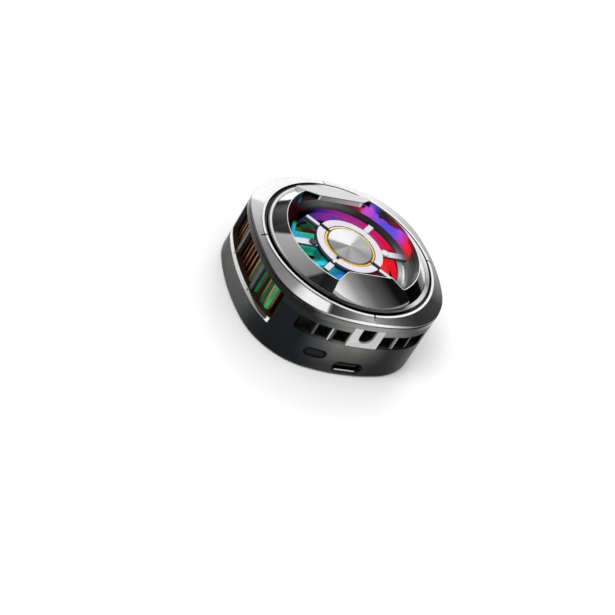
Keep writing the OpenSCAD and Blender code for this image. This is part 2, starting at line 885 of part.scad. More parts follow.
// Deck, duct, arms and motor plate in one moulding
module fan_frame() {
    color("#191a1d") difference() {
        union() {
            difference() {
                union() {
                    slab(skirt_t + 1.5 * fit, z_deck, z_deck_top);
                    disc(duct_r + duct_t, z_duct, z_deck);
                }
                disc(duct_r, z_duct - over, z_deck_top + over);
            }
            ring(light_in + fit, duct_r + duct_t / 2, z_duct, z_light);
            for (a = [0:90:270]) rotate(a) block(0, duct_r + duct_t / 2, -spider_w / 2, spider_w / 2, z_duct, z_spider);
            disc(motor_plate_r, z_duct, z_spider);
            disc(bearing_tube_r, z_duct, z_bearing_top);
            disc(bearing_tube_r + tooth_w, z_duct, z_stator);
            at_columns() disc(column_r - column_sink - fit, z_column, z_deck + deck_t / 2);
        }
        disc(bearing_r + press_gap, z_bearing, z_bearing_top + over);
        at_columns() {
            disc(screw_pass_r, z_deck - over, z_deck_top + over);
            disc(screw_pocket_r, z_deck_top - screw_head_t, z_deck_top + over);
        }
        at_pegs() disc(peg_r + fit, z_deck - over, z_deck_top + over);
    }
}

module frame_screws() {
    color("#8b8f94") at_columns() translate([0, 0, z_deck_top - screw_head_t]) screw(screw_l, screw_head_r);
}

module light_ring() {
    color("#b23ad6") ring(light_in, light_in + light_t, z_light, z_deck_top);
}

// Black ring over the duct, sloped towards the fan
module duct_lip() {
    slope_w = (mouth_r - lip_r) * 4 / 9;
    color("#111214") rotate_extrude() polygon([
        [lip_r, z_deck_top], [mouth_r - 2 * fit, z_deck_top], [mouth_r - 2 * fit, z_lip],
        [lip_r + slope_w, z_lip], [lip_r, z_deck_top + lip_t / 2]
    ]);
}

module cowl_liner() {
    color("#7a3fe0") difference() {
        ring(mouth_r, liner_r, z_deck_top, cowl_under(liner_r) - fit);
        for (a = [0, 180]) rotate(a) tab_prism(z_deck_top + tab_rise / 4, z_tab, fit);
    }
}

module led_board() {
    color("#0f3d2c") ring(led_in, led_in + led_w, z_deck_top, z_deck_top + led_board_t);
}

module leds() {
    color("#f4f2e6") for (i = [0:led_count - 1]) rotate(360 * i / led_count)
        translate([led_in + led_w / 2, 0, z_deck_top + led_board_t + led_size[2] / 2])
            cube(led_size, center = true);
}

module stator_core() {
    shoe_angle = 0.62 * 360 / poles;
    color("#7d8085") {
        ring(stator_in, stator_in + tooth_w, z_stator, z_stator + stator_h);
        for (i = [0:poles - 1]) rotate(360 * i / poles) {
            block(stator_in + tooth_w / 2, stator_r - shoe_t / 2, -tooth_w / 2, tooth_w / 2,
                  z_stator, z_stator + stator_h);
            rotate(-shoe_angle / 2) translate([0, 0, z_stator]) rotate_extrude(angle = shoe_angle)
                translate([stator_r - shoe_t, 0]) square([shoe_t, stator_h]);
        }
    }
}

// One wound bobbin round each tooth
module stator_coils() {
    x0 = stator_in + tooth_w + 2 * fit;
    x1 = stator_r - shoe_t - 2 * fit;
    w = tooth_w / 2 + fit;
    color("#b5652b") for (i = [0:poles - 1]) rotate(360 * i / poles) difference() {
        block(x0, x1, -tooth_w, tooth_w, z_coil, z_coil + coil_h);
        block(x0 - over, x1 + over, -w, w, z_stator - fit, z_stator + stator_h + fit);
    }
}

module bearing() {
    color("#b08d3c") ring(shaft_r + shaft_gap, bearing_r, z_bearing, z_bearing_top);
}

module shaft() {
    color("#cfd2d6") disc(shaft_r, z_bearing + fit, z_hub_top);
}

module thrust_washer() {
    color("#e8e6df") ring(shaft_r + press_gap, bearing_r, z_yoke - yoke_t - washer_t, z_yoke - yoke_t);
}

module rotor_yoke() {
    color("#85888d") {
        ring(yoke_r - yoke_t, yoke_r, z_blade, z_yoke);
        ring(shaft_r + press_gap, yoke_r, z_yoke - yoke_t, z_yoke);
    }
}

module rotor_magnet() {
    color("#3b3d40") ring(rotor_magnet_r - rotor_magnet_t, rotor_magnet_r, z_blade, z_yoke - yoke_t - spin_gap);
}

// Moulded hub and flat pitched blades
module impeller() {
    chord = blade_h / sin(blade_pitch) * 2;
    color("#2f8f86") {
        ring(yoke_r + press_gap, hub_r, z_blade, z_hub_top);
        ring(shaft_r + press_gap, hub_r, z_yoke, z_hub_top);
        for (i = [0:blades - 1]) rotate(360 * i / blades) intersection() {
            ring(hub_r - hub_t / 2, blade_r, z_blade + fit, z_blade + blade_h);
            translate([blade_r / 2 + hub_t, 0, z_blade + blade_h / 2]) rotate([blade_pitch, 0, 0])
                cube([blade_r, chord, blade_t], center = true);
        }
    }
}

// Hub guard

module guard_base() {
    color("#141517") {
        disc(guard_r, z_guard, z_guard_top);
        for (a = [45:90:315]) rotate(a)
            block(guard_r - pointer_in, pointer_r, -stub_w / 2, stub_w / 2, z_guard, z_guard + guard_t / 2);
    }
}

// Two bars that stand on the lip and carry the guard
module guard_arms() {
    color("#d9dadc") for (a = [0, 180]) rotate(a) difference() {
        union() {
            block(0, arm_r, -arm_w / 2, arm_w / 2, z_guard, z_guard_top);
            block(arm_r - foot_l, arm_r, -arm_w / 2, arm_w / 2, z_lip, z_guard_top);
        }
        disc(guard_r, z_guard - over, z_guard_top + over);
    }
}

module arm_screws() {
    color("#2d2f33") for (a = [0, 180]) rotate(a)
        translate([guard_r + arm_screw_r + fit, 0, 0]) disc(arm_screw_r, z_guard_top, z_guard_top + arm_screw_t);
}

module guard_ring() {
    color("#ececec") difference() {
        ring(white_ring_r - white_ring_w, white_ring_r, z_guard_top, z_guard_top + white_ring_t);
        for (gap = [[45, white_gap], [135, slim_gap]]) rotate(gap[0])
            block(-body_w, body_w, -gap[1] / 2, gap[1] / 2, z_guard_top - over, z_guard_top + cap_t + over);
    }
}

// Two wide markers that stand off the ring and two slim ones that reach it
module guard_pointers() {
    z0 = z_guard + guard_t / 2;
    color("#ececec") {
        for (a = [45, 225]) rotate(a)
            block(guard_r + pointer_in, pointer_r, -pointer_w / 2, pointer_w / 2, z0, z0 + pointer_t);
        for (a = [135, 315]) rotate(a)
            block(guard_r + 2 * fit, pointer_r, -pointer_slim / 2, pointer_slim / 2, z0, z0 + pointer_t);
    }
}

module gold_ring() {
    color("#d8a92e") ring(gold_r - gold_w, gold_r, z_guard_top, z_guard_top + white_ring_t - fit);
}

// Bare metal cap with a bevelled edge
module hub_cap() {
    bevel = cap_t / 3;
    color("#c9cbce") rotate_extrude() polygon([
        [0, z_guard_top], [cap_r, z_guard_top], [cap_r, z_guard_top + cap_t - bevel],
        [cap_r - bevel, z_guard_top + cap_t], [0, z_guard_top + cap_t]
    ]);
}

// Top

module at_pegs() {
    for (q = [0:3]) rotate(90 * q + 45 + peg_a) translate([column_d - fit, 0, 0]) children();
}

// Rounded-square ring cut by a shallow cone, with a circular crest
module bezel() {
    reach = corner_d + over;
    color("#b9bcc0") {
        difference() {
            union() {
                intersection() {
                    union() {
                        slab(0, z_deck, skirt_groove_z);
                        slab(skirt_groove_d, skirt_groove_z, skirt_groove_z + skirt_groove_h);
                        slab(edge_in, skirt_groove_z + skirt_groove_h, z_crest);
                    }
                    rotate_extrude() polygon([
                        [0, z_deck], [reach, z_deck], [reach, z_crest - cone_fall * (reach - crest_r)],
                        [crest_r, z_crest], [0, z_crest]
                    ]);
                }
                disc(crest_r, z_crest - crest_t, z_crest + crest_t);
            }
            slab(skirt_t, z_deck - over, z_deck_top);
            disc(collar_r + 2 * fit, z_deck, z_deck_top + collar_t + fit);
            disc(crest_in, z_deck, z_crest + crest_t + over);
            for (a = [0:90:270]) rotate(a)
                block(crest_in - over, crest_r + over, -slit_w / 2, slit_w / 2, z_crest - slit_d,
                      z_crest + crest_t + over);
        }
        at_pegs() disc(peg_r, z_deck + fit, z_deck_top + peg_root);
    }
}

module inner_ring() {
    color("#8e9196") ring(cowl_r - inner_ring_w, cowl_r, z_step, z_cowl);
}

// Height of the underside of the cowl's cone at radius r
function cowl_under(r) = z_mouth - cowl_t - cowl_slope * (r - mouth_r);

// Plan of one tab on the port side, grown by a gap
module tab_prism(z0, z1, gap) {
    shoulder_y = tab_y + tab_shoulder[1];
    shoulder_w = tab_half_w + tab_shoulder[0] + gap;
    outer_w = shoulder_w * cone_r / shoulder_y;
    translate([0, 0, z0]) linear_extrude(z1 - z0) polygon([
        [-tab_half_w - gap, -tab_y + gap], [-shoulder_w, -shoulder_y], [-outer_w, -cone_r - gap],
        [outer_w, -cone_r - gap], [shoulder_w, -shoulder_y], [tab_half_w + gap, -tab_y + gap]
    ]);
}

// Sloping plate of one tab, with a lip along its inner edge
module tab_plate() {
    y0 = cone_r;
    y1 = tab_y;
    lip_w = 1;
    intersection() {
        tab_prism(z_deck_top, z_tab + over, 0);
        disc(cone_r, z_deck_top, z_tab + over);
        translate([body_w / 2, 0, 0]) rotate([90, 0, -90]) linear_extrude(body_w) polygon([
            [y0, z_tab_foot], [y1, z_tab], [y1, z_tab - tab_t - tab_lip_h],
            [y1 + lip_w, z_tab - tab_t - tab_lip_h], [y1 + lip_w, z_tab - tab_t - lip_w * tab_slope],
            [y0, z_tab_foot - tab_t]
        ]);
    }
}

// Conical cowl round the fan's mouth, with a flat sloping tab on two sides
module cowl() {
    color("#a9acb1") {
        difference() {
            rotate_extrude() polygon([
                [foot_r, z_deck_top], [collar_r, z_deck_top], [collar_r, z_deck_top + collar_t],
                [cowl_r, z_deck_top + collar_t], [cowl_r, z_step], [cone_r, z_step], [cone_r, z_cowl],
                [mouth_r, z_mouth], [mouth_r, z_mouth - cowl_t], [foot_r, cowl_under(foot_r)]
            ]);
            for (a = [0, 180]) rotate(a) intersection() {
                tab_prism(z_tab_foot - tab_t, z_tab + over, 0);
                disc(cone_r - fit, z_tab_foot - tab_t, z_tab + over);
            }
        }
        for (a = [0, 180]) rotate(a) tab_plate();
    }
}

contact_pad();
thermal_film();
cold_plate();
base_cover();
magnets();
magnet_shield();
base_screws();
housing();
insulation_foam();
peltier_ceramics();
peltier_pellets();
peltier_leads();
heat_sink();
sink_screws();
control_board();
board_screws();
board_chips();
usb_shell();
usb_tongue();
tact_switch();
switch_plunger();
power_button();
fan_leads();
fan_frame();
frame_screws();
light_ring();
duct_lip();
cowl_liner();
led_board();
leds();
stator_core();
stator_coils();
bearing();
shaft();
thrust_washer();
rotor_yoke();
rotor_magnet();
impeller();
guard_base();
guard_arms();
arm_screws();
guard_ring();
guard_pointers();
gold_ring();
hub_cap();
bezel();
inner_ring();
cowl();
vent_grille_front();
vent_grille_rear();
window_sill_left();
window_sill_right();
window_posts_left();
window_posts_right();
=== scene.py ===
import math

import bmesh
import bpy
from mathutils import Matrix, Vector


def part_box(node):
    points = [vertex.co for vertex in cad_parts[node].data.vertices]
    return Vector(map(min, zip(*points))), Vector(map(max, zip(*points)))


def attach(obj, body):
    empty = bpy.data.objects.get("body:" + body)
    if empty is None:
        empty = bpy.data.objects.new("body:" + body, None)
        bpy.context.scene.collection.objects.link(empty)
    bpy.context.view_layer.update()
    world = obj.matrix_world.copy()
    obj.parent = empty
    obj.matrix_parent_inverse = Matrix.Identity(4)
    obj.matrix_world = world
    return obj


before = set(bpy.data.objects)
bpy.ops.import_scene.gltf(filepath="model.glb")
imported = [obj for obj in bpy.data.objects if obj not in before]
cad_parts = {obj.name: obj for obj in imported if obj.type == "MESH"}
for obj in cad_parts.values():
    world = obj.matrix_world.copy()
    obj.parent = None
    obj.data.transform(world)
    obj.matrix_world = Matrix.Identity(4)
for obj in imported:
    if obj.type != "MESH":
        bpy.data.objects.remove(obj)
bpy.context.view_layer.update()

MM = 0.001

# Settings that the finishes share
NOISE_LOW = 0.3
NOISE_HIGH = 0.7
BEVEL_SAMPLES = 6
BUMP_STRENGTH = 0.6

# Waves of fine marks, in radians per millimetre
CHROME_MARKS = 70.0
CAP_MARKS = 60.0
BOARD_TRACKS = 5.0
COIL_TURNS = 30.0

# Places on the object, in millimetres
CREST_TOP_Z = 21.55
CREST_IN = 25.8
MOAT_IN = 24.4
SKIRT_GROOVE_Z = 19.9
MOUTH_R = 20.4
MOUTH_Z = 25.0
TAB_Y = 15.0
TAB_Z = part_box("cowl")[1][2] / MM
TAB_HALF_W = 7.0
TAB_SIDE_END = (10.2, 17.66, 24.95)
TAB_SIDE_ANGLE = 60.0
FACE_R = 60.0
FACE_BEHIND = 31.5
FIN_PITCH = 2.0

# The button's middle, the direction along its face and half of its straight length
BUTTON = (-11.3, -27.43, 6.2)
BUTTON_ALONG = (0.982105, -0.188333)
BUTTON_HALF = 1.75

# Where a change of tone, mostly of painted light or shade, begins and where it ends, in millimetres
BODY_RISE_Z = (3.0, 11.0)
VENT_TOP_Z = (16.0, 16.6)
ARM_SHADE_X = (14.0, 18.0)
PORT_RIM_X = (3.3, 3.1)
PORT_RIM_Y = (-27.7, -27.8)
PORT_RIM_Z = (2.1, 1.95)
GRILLE_FRONT = (FACE_R - 0.8, FACE_R - 0.6)
BUTTON_GAP_SHADE = (0.75, 0.95)
SILL_SHADE_Y = (-7.0, -16.0)
SILL_SHADE_Z = (9.1, 7.5)
SILL_SHADE_SOFT = 0.25
SILL_TIP_Y = (-18.6, -18.3)
FIN_END_Y = (19.2, 19.6)
BOARD_GLOW_X = (18.0, 25.0)
BOARD_GLOW_Y = (-3.0, -10.0)
BOARD_GLOW_END_Y = (-16.2, -16.0)
FAN_GLOW_R = (17.4, 17.0)
FAN_GLOW_Z = (9.0, 12.5)
HUB_SHADE_R = (8.0, 11.0)


def srgb(r, g, b):
    """Linear colour of an 8-bit screen colour."""
    def linear(c):
        c = c / 255
        return c / 12.92 if c <= 0.04045 else ((c + 0.055) / 1.055) ** 2.4
    return (linear(r), linear(g), linear(b), 1.0)


def grey(value):
    return (value, value, value, 1.0)


BLACK = grey(0.0)


class Nodes:
    """Short names for the shader nodes that the finishes and the studio share."""

    def __init__(self, tree):
        self.tree = tree

    def put(self, socket, value):
        if isinstance(value, bpy.types.NodeSocket):
            self.tree.links.new(value, socket)
        else:
            socket.default_value = value

    def node(self, kind, inputs=None, **settings):
        made = self.tree.nodes.new("ShaderNode" + kind)
        for key, value in settings.items():
            setattr(made, key, value)
        for key, value in (inputs or {}).items():
            self.put(made.inputs[key], value)
        return made

    def math(self, operation, a, b=0.0):
        return self.node("Math", {0: a, 1: b}, operation=operation).outputs[0]

    def between(self, value, low, high, out_low=0.0, out_high=1.0):
        """Carries a value from one range to another, and stops at its ends."""
        return self.node("MapRange", {0: value, 1: low, 2: high, 3: out_low, 4: out_high}).outputs[0]

    def plus(self, a, b):
        return self.math("ADD", a, b)

    def minus(self, a, b):
        return self.math("SUBTRACT", a, b)

    def times(self, a, b):
        return self.math("MULTIPLY", a, b)

    def absolute(self, value):
        return self.math("ABSOLUTE", value)

    def step(self, value, place, soft=0.05):
        """Zero below a place and one above it, with a soft change between them."""
        return self.between(value, place - soft, place + soft)

    def band(self, value, low, high, soft):
        """One inside a range of values, with soft ends."""
        return self.times(self.between(value, low - soft, low), self.between(value, high + soft, high))

    def mix(self, factor, a, b, blend="MIX"):
        made = self.node("Mix", data_type="RGBA", blend_type=blend)
        self.put(made.inputs[0], factor)
        self.put(made.inputs[6], a)
        self.put(made.inputs[7], b)
        return made.outputs[2]

    def ramp(self, factor, stops):
        """Colours or greys by a factor from 0 to 1."""
        made = self.node("ValToRGB", {0: factor})
        elements = made.color_ramp.elements
        while len(elements) < len(stops):
            elements.new(1.0)
        for element, (place, colour) in zip(elements, stops):
            element.position = place
            element.color = colour if isinstance(colour, tuple) else grey(colour)
        return made.outputs[0]


class Surface(Nodes):
    """One material, with places on the object in millimetres."""

    def __init__(self, name):
        self.material = bpy.data.materials.new(name)
        self.material.use_nodes = True
        super().__init__(self.material.node_tree)
        self.shader = self.tree.nodes["Principled BSDF"]

    def set(self, **sockets):
        for key, value in sockets.items():
            self.put(self.shader.inputs[key.replace("_", " ")], value)

    def position(self):
        return self.node("TexCoord").outputs["Object"]

    def axes(self):
        """X, Y and Z in millimetres."""
        scaled = self.node("VectorMath", {0: self.position(), 3: 1 / MM}, operation="SCALE").outputs[0]
        return self.node("SeparateXYZ", {0: scaled}).outputs

    def facing(self):
        """X, Y and Z of the normal."""
        return self.node("SeparateXYZ", {0: self.node("TexCoord").outputs["Normal"]}).outputs

    def length(self, a, b):
        return self.math("SQRT", self.plus(self.times(a, a), self.times(b, b)))

    def radius(self):
        x, y, _ = self.axes()
        return self.length(x, y)

    def around(self, stops, middle=(0.0, 0.0), shift=0.0):
        """Colours by plan angle in degrees about a middle, from +X towards +Y, with a shift in degrees."""
        x, y, _ = self.axes()
        angle = self.math("ARCTAN2", self.minus(y, middle[1]), self.minus(x, middle[0]))
        turn = self.math("DIVIDE", angle, 2 * math.pi)
        turn = self.math("FRACT", self.plus(turn, self.math("DIVIDE", shift, 360.0)))
        return self.ramp(turn, [(a / 360, c) for a, c in stops])

    def noise(self, size, detail=2.0, stretch=(1, 1, 1)):
        """Soft noise whose blobs measure about size millimetres."""
        place = self.node("VectorMath", {0: self.position(), 1: stretch}, operation="MULTIPLY").outputs[0]
        inputs = {"Vector": place, "Scale": 1 / (size * MM), "Detail": detail}
        return self.node("TexNoise", inputs).outputs[0]

    def cells(self, size):
        """A random number for each of the small cells that fill the surface."""
        made = self.node("TexVoronoi", {"Vector": self.position(), "Scale": 1 / (size * MM)})
        return self.node("SeparateColor", {0: made.outputs["Color"]}).outputs[0]

    def edge(self, width):
        """Normal that rounds sharp edges over a width in millimetres."""
        return self.node("Bevel", {"Radius": width * MM}, samples=BEVEL_SAMPLES).outputs[0]

    def bump(self, height, depth, normal):
        """Relief of a depth in millimetres."""
        inputs = {"Height": height, "Distance": depth * MM, "Strength": BUMP_STRENGTH, "Normal": normal}
        return self.node("Bump", inputs).outputs[0]

    def by_length(self, value, stops):
        """Tones by a length in millimetres, from the first stop to the last."""
        first = stops[0][0]
        last = stops[-1][0]
        shares = [((place - first) / (last - first), tone) for place, tone in stops]
        return self.ramp(self.between(value, first, last), shares)

    def uneven(self, low, high, size, detail=2.0, stretch=(1, 1, 1)):
        """A number that wanders from low to high in blobs of about size millimetres."""
        return self.between(self.noise(size, detail, stretch), NOISE_LOW, NOISE_HIGH, low, high)

    def vary(self, colour, amount, size, stretch=(1, 1, 1)):
        """A colour that grows a little darker and lighter over the surface."""
        dark = tuple(c * (1 - amount) for c in colour[:3]) + (1.0,)
        light = tuple(min(1.0, c * (1 + amount)) for c in colour[:3]) + (1.0,)
        return self.ramp(self.noise(size, 3.0, stretch), [(NOISE_LOW, dark), (NOISE_HIGH, light)])


# Plain finishes

def plastic(name, colour, rough=0.4, grain=0.25, relief=0.012, edge=0.12):
    s = Surface(name)
    s.set(Base_Color=s.vary(colour, 0.18, 3.0))
    s.set(Roughness=s.uneven(rough - 0.06, rough + 0.06, 1.2))
    s.set(Normal=s.bump(s.noise(grain), relief, s.edge(edge)))
    return s.material


def metal(name, colour, rough=0.25, stretch=(1, 1, 1), size=0.6, relief=0.006, edge=0.15):
    s = Surface(name)
    s.set(Metallic=1.0, Base_Color=s.vary(colour, 0.12, 2.0, stretch))
    s.set(Roughness=s.uneven(rough - 0.07, rough + 0.07, size, 3.0, stretch))
    s.set(Normal=s.bump(s.noise(size / 3, 2.0, stretch), relief, s.edge(edge)))
    return s.material


def rubber(name, colour):
    """Matt silicone with a fine leathery grain."""
    s = Surface(name)
    s.set(Base_Color=s.vary(colour, 0.2, 4.0))
    s.set(Roughness=s.uneven(0.62, 0.78, 0.5))
    s.set(Normal=s.bump(s.cells(0.45), 0.02, s.edge(0.15)))
    return s.material


def foam(name, colour):
    s = Surface(name)
    s.set(Base_Color=s.vary(colour, 0.35, 0.8))
    s.set(Roughness=s.uneven(0.85, 0.98, 0.6))
    s.set(Normal=s.bump(s.cells(0.6), 0.08, s.edge(0.2)))
    return s.material


# Tones of painted reflections and shade on the body by plan angle: over the vents, under them and low down
BODY_TOP = [(0, 0.015), (70, 0.14), (110, 0.14), (150, 0.02), (215, 0.012), (238, 0.02), (250, 0.12),
            (262, 0.24), (280, 0.26), (292, 0.14), (302, 0.02), (360, 0.015)]
BODY_HIGH = [(0, 0.015), (60, 0.03), (90, 0.08), (135, 0.015), (160, 0.07), (180, 0.1), (200, 0.08),
             (212, 0.016), (218, 0.008), (236, 0.009), (246, 0.07), (256, 0.15), (268, 0.16), (278, 0.1),
             (289, 0.015), (330, 0.008), (360, 0.015)]
BODY_LOW = [(0, 0.007), (90, 0.012), (150, 0.03), (180, 0.08), (198, 0.06), (210, 0.014), (222, 0.007),
            (240, 0.01), (258, 0.035), (272, 0.03), (286, 0.01), (300, 0.005), (360, 0.007)]

# Colour casts of the body's painted reflections by plan angle
BLUISH = (0.78, 0.9, 1.0, 1.0)
NEUTRAL = (1.0, 1.0, 0.97, 1.0)
BODY_REFLECTION_CAST = [(0, BLUISH), (150, NEUTRAL), (195, NEUTRAL), (215, BLUISH), (240, BLUISH), (252, NEUTRAL),
             (290, NEUTRAL), (300, BLUISH), (360, BLUISH)]


def glossy_black():
    """Black moulding of the body with painted reflections and shade, lighter round the vents and windows.
    """
    s = Surface("body_black")
    z = s.axes()[2]
    tone = s.mix(s.between(z, *BODY_RISE_Z), s.around(BODY_LOW), s.around(BODY_HIGH))
    tone = s.mix(s.between(z, *VENT_TOP_Z), tone, s.around(BODY_TOP))
    tint = s.mix(1.0, tone, s.around(BODY_REFLECTION_CAST), "MULTIPLY")
    s.set(Base_Color=s.mix(s.uneven(0.0, 0.15, 4.0, 3.0), tint, srgb(9, 10, 14)))
    s.set(Roughness=s.uneven(0.28, 0.36, 2.0))
    s.set(Specular_IOR_Level=0.06)
    s.set(Normal=s.edge(0.2))
    return s.material


PALE = srgb(200, 198, 205)


def satin_white(name, shade_x=None):
    """Pale satin lacquer of the guard with painted shade on its upright sides, and painted shade over its
    outer end where one is asked for.
    """
    s = Surface(name)
    colour = s.vary(PALE, 0.04, 2.0)
    if shade_x is not None:
        shade = s.between(s.axes()[0], *shade_x, 0.0, 0.85)
        colour = s.mix(shade, colour, srgb(44, 46, 52))
    upright = s.between(s.absolute(s.facing()[2]), 0.5, 0.3)
    s.set(Base_Color=s.mix(upright, colour, srgb(74, 74, 82)))
    s.set(Roughness=s.uneven(0.3, 0.4, 0.6))
    s.set(Normal=s.bump(s.noise(0.3), 0.003, s.edge(0.15)))
    return s.material


def head_metal():
    """Screw heads of the guard: one dark, the other lacquered with its arm."""
    s = Surface("dark_screw")
    pale = s.step(s.axes()[0], 0.0, 1.0)
    s.set(Base_Color=s.mix(pale, s.vary(srgb(34, 36, 40), 0.2, 1.0), PALE))
    s.set(Roughness=s.uneven(0.3, 0.42, 0.5))
    s.set(Normal=s.bump(s.noise(0.25), 0.004, s.edge(0.15)))
    return s.material


def button_face():
    """Dark key with painted shade as a black border where it meets its hole."""
    s = Surface("button_grey")
    x, y, z = s.axes()
    along = s.plus(s.times(s.minus(x, BUTTON[0]), BUTTON_ALONG[0]),
                   s.times(s.minus(y, BUTTON[1]), BUTTON_ALONG[1]))
    beyond = s.math("MAXIMUM", s.minus(s.absolute(along), BUTTON_HALF), 0.0)
    out = s.length(beyond, s.minus(z, BUTTON[2]))
    face = s.vary(srgb(26, 27, 29), 0.15, 2.0)
    s.set(Base_Color=s.mix(s.between(out, *BUTTON_GAP_SHADE), face, srgb(2, 2, 3)))
    s.set(Roughness=s.uneven(0.32, 0.42, 1.0))
    s.set(Specular_IOR_Level=0.06)
    s.set(Normal=s.bump(s.noise(0.25), 0.003, s.edge(0.3)))
    return s.material


def port_shell():
    """Steel shell of the port: its lower rim catches the light, the rest lies in shade."""
    s = Surface("port_steel")
    x, y, z = s.axes()
    rim = s.times(s.between(z, *PORT_RIM_Z), s.between(y, *PORT_RIM_Y))
    rim = s.times(rim, s.between(s.absolute(x), *PORT_RIM_X))
    s.set(Base_Color=s.mix(rim, s.vary(srgb(8, 8, 9), 0.2, 1.0), s.vary(srgb(214, 214, 218), 0.05, 1.0)))
    s.set(Specular_IOR_Level=0.08)
    s.set(Roughness=s.uneven(0.4, 0.5, 0.5))
    s.set(Normal=s.bump(s.noise(0.2), 0.004, s.edge(0.1)))
    return s.material


def silver(name, tone_of):
    """Bright trim whose painted light and shade follow its place."""
    s = Surface(name)
    tone = tone_of(s)
    worn = s.mix(1.0, tone, grey(0.8), "MULTIPLY")
    s.set(Base_Color=s.mix(s.uneven(0.0, 0.6, 1.0, 3.0), tone, worn))
    s.set(Metallic=0.4, Roughness=s.uneven(0.36, 0.46, 0.6))
    s.set(Normal=s.bump(s.noise(2.0), 0.002, s.edge(0.03)))
    return s.material


# Tones of painted light and shade on the grilles along the face and on the sills from the port to the back,
# by millimetres
GRILLE_TONES = [(-20.0, 0.05), (-12.4, 0.06), (-10.86, 0.05), (-10.8, 0.75), (-10.16, 0.75),
                (-10.08, 0.05), (-5.6, 0.05), (-5.0, 0.62), (4.0, 0.56), (5.2, 0.62), (9.92, 0.05),
                (10.0, 0.4), (10.68, 0.4), (10.76, 0.05), (20.0, 0.08)]
SILL_TONES = [(-19.0, 0.9), (-18.3, 0.9), (-17.95, 0.2), (-10.25, 0.35), (-3.95, 0.6), (5.5, 0.65),
              (16.0, 0.9)]


def grille_tone(s):
    """Bright fronts on dark ribs: the clip and two thin ribs catch the light, the rest lies in shade."""
    x, y, _ = s.axes()
    depth = s.length(x, s.plus(s.absolute(y), FACE_BEHIND))
    along = s.times(x, s.times(s.math("SIGN", y), -1.0))
    return s.mix(s.between(depth, *GRILLE_FRONT), grey(0.015), s.by_length(along, GRILLE_TONES))


def sill_tone(s):
    """Bright sill with painted light that dives into painted shade towards the port, but for its lower edge
    and its tip, and with painted shade on its upward faces.
    """
    _, y, z = s.axes()
    shade_from = s.between(y, *SILL_SHADE_Y, *SILL_SHADE_Z)
    shade = s.between(s.minus(z, shade_from), 0.0, SILL_SHADE_SOFT)
    shade = s.times(shade, s.between(y, *SILL_TIP_Y))
    shade = s.math("MAXIMUM", shade, s.between(s.facing()[2], 0.6, 0.8))
    return s.mix(shade, s.by_length(y, SILL_TONES), srgb(48, 32, 22))


# Colours of the light by plan angle: on the lit ring, and on the blades
RING_COLOURS = [(0, srgb(222, 20, 38)), (20, srgb(206, 22, 60)), (45, srgb(180, 36, 108)),
                (70, srgb(154, 42, 136)), (90, srgb(124, 42, 142)), (102, srgb(92, 42, 146)),
                (112, srgb(64, 38, 128)), (122, srgb(38, 22, 80)), (133, srgb(32, 9, 32)),
                (146, srgb(44, 8, 20)), (162, srgb(38, 6, 14)), (180, srgb(14, 30, 32)),
                (200, srgb(0, 104, 96)), (240, srgb(30, 112, 220)), (268, srgb(14, 30, 90)),
                (290, srgb(170, 18, 30)), (335, srgb(224, 20, 30)), (360, srgb(222, 20, 38))]

BLADE_COLOURS = [(0, srgb(232, 18, 24)), (20, srgb(206, 20, 52)), (50, srgb(150, 30, 110)),
                 (90, srgb(84, 40, 150)), (112, srgb(44, 58, 190)), (130, srgb(40, 70, 200)),
                 (140, srgb(12, 24, 60)), (146, srgb(8, 60, 40)), (153, srgb(12, 84, 54)),
                 (157, srgb(66, 14, 18)), (162, srgb(60, 12, 16)), (164, srgb(16, 110, 66)),
                 (166, srgb(26, 176, 104)), (169, srgb(34, 190, 170)), (174, srgb(60, 180, 232)),
                 (187, srgb(60, 180, 232)), (192, srgb(16, 130, 96)), (200, srgb(22, 160, 110)),
                 (208, srgb(20, 150, 140)), (214, srgb(44, 218, 236)), (230, srgb(60, 226, 248)),
                 (237, srgb(50, 160, 240)), (248, srgb(36, 110, 220)), (258, srgb(16, 50, 120)),
                 (272, srgb(14, 24, 80)), (288, srgb(20, 8, 28)), (300, srgb(150, 10, 16)),
                 (310, srgb(236, 16, 20)), (345, srgb(244, 18, 20)), (360, srgb(232, 18, 24))]

# Middles of the coloured light on the blades and on the fins below them
BLADE_MIDDLE = (3.2, 4.2)
FIN_MIDDLE = (6.9, 9.2)


# Chromed finishes

# Tones of painted reflections and shade by plan angle
BEZEL_TONES = [(0, 0.35), (30, 0.5), (60, 0.9), (148, 1.0), (151, 0.62), (160, 0.55), (168, 0.45),
               (178, 0.34), (188, 0.22), (208, 0.2), (219, 0.27), (223, 0.65), (228, 0.9), (241, 0.85),
               (242, 0.03), (248, 0.06), (254, 0.13), (260, 0.27), (265, 0.38), (269, 0.44), (271, 0.26),
               (279, 0.16), (289, 0.06), (300, 0.02), (325, 0.03), (337, 0.14), (360, 0.35)]
SKIRT_HIGH = [(0, 0.3), (45, 0.12), (75, 0.5), (105, 0.6), (130, 0.3), (148, 0.025), (205, 0.02),
              (217, 0.015), (233, 0.03), (240, 0.25), (250, 0.55), (262, 0.85), (278, 0.8), (288, 0.4),
              (297, 0.08), (306, 0.02), (330, 0.03), (345, 0.15), (360, 0.3)]
SKIRT_LOW = [(0, 0.2), (45, 0.08), (75, 0.3), (105, 0.35), (130, 0.2), (148, 0.02), (215, 0.015),
             (235, 0.015), (246, 0.13), (262, 0.25), (278, 0.28), (289, 0.12), (298, 0.02), (330, 0.03),
             (360, 0.2)]
CREST_TONES = [(0, 0.9), (120, 0.95), (200, 0.85), (240, 0.75), (262, 0.9), (300, 1.0), (330, 0.9),
               (360, 0.9)]
RING_TONES = [(0, 0.85), (30, 0.75), (60, 0.8), (120, 0.8), (165, 0.75), (190, 0.6), (205, 0.3),
              (218, 0.08), (232, 0.05), (262, 0.055), (285, 0.07), (298, 0.2), (310, 0.75), (322, 0.6),
              (335, 0.25), (350, 0.6), (360, 0.85)]
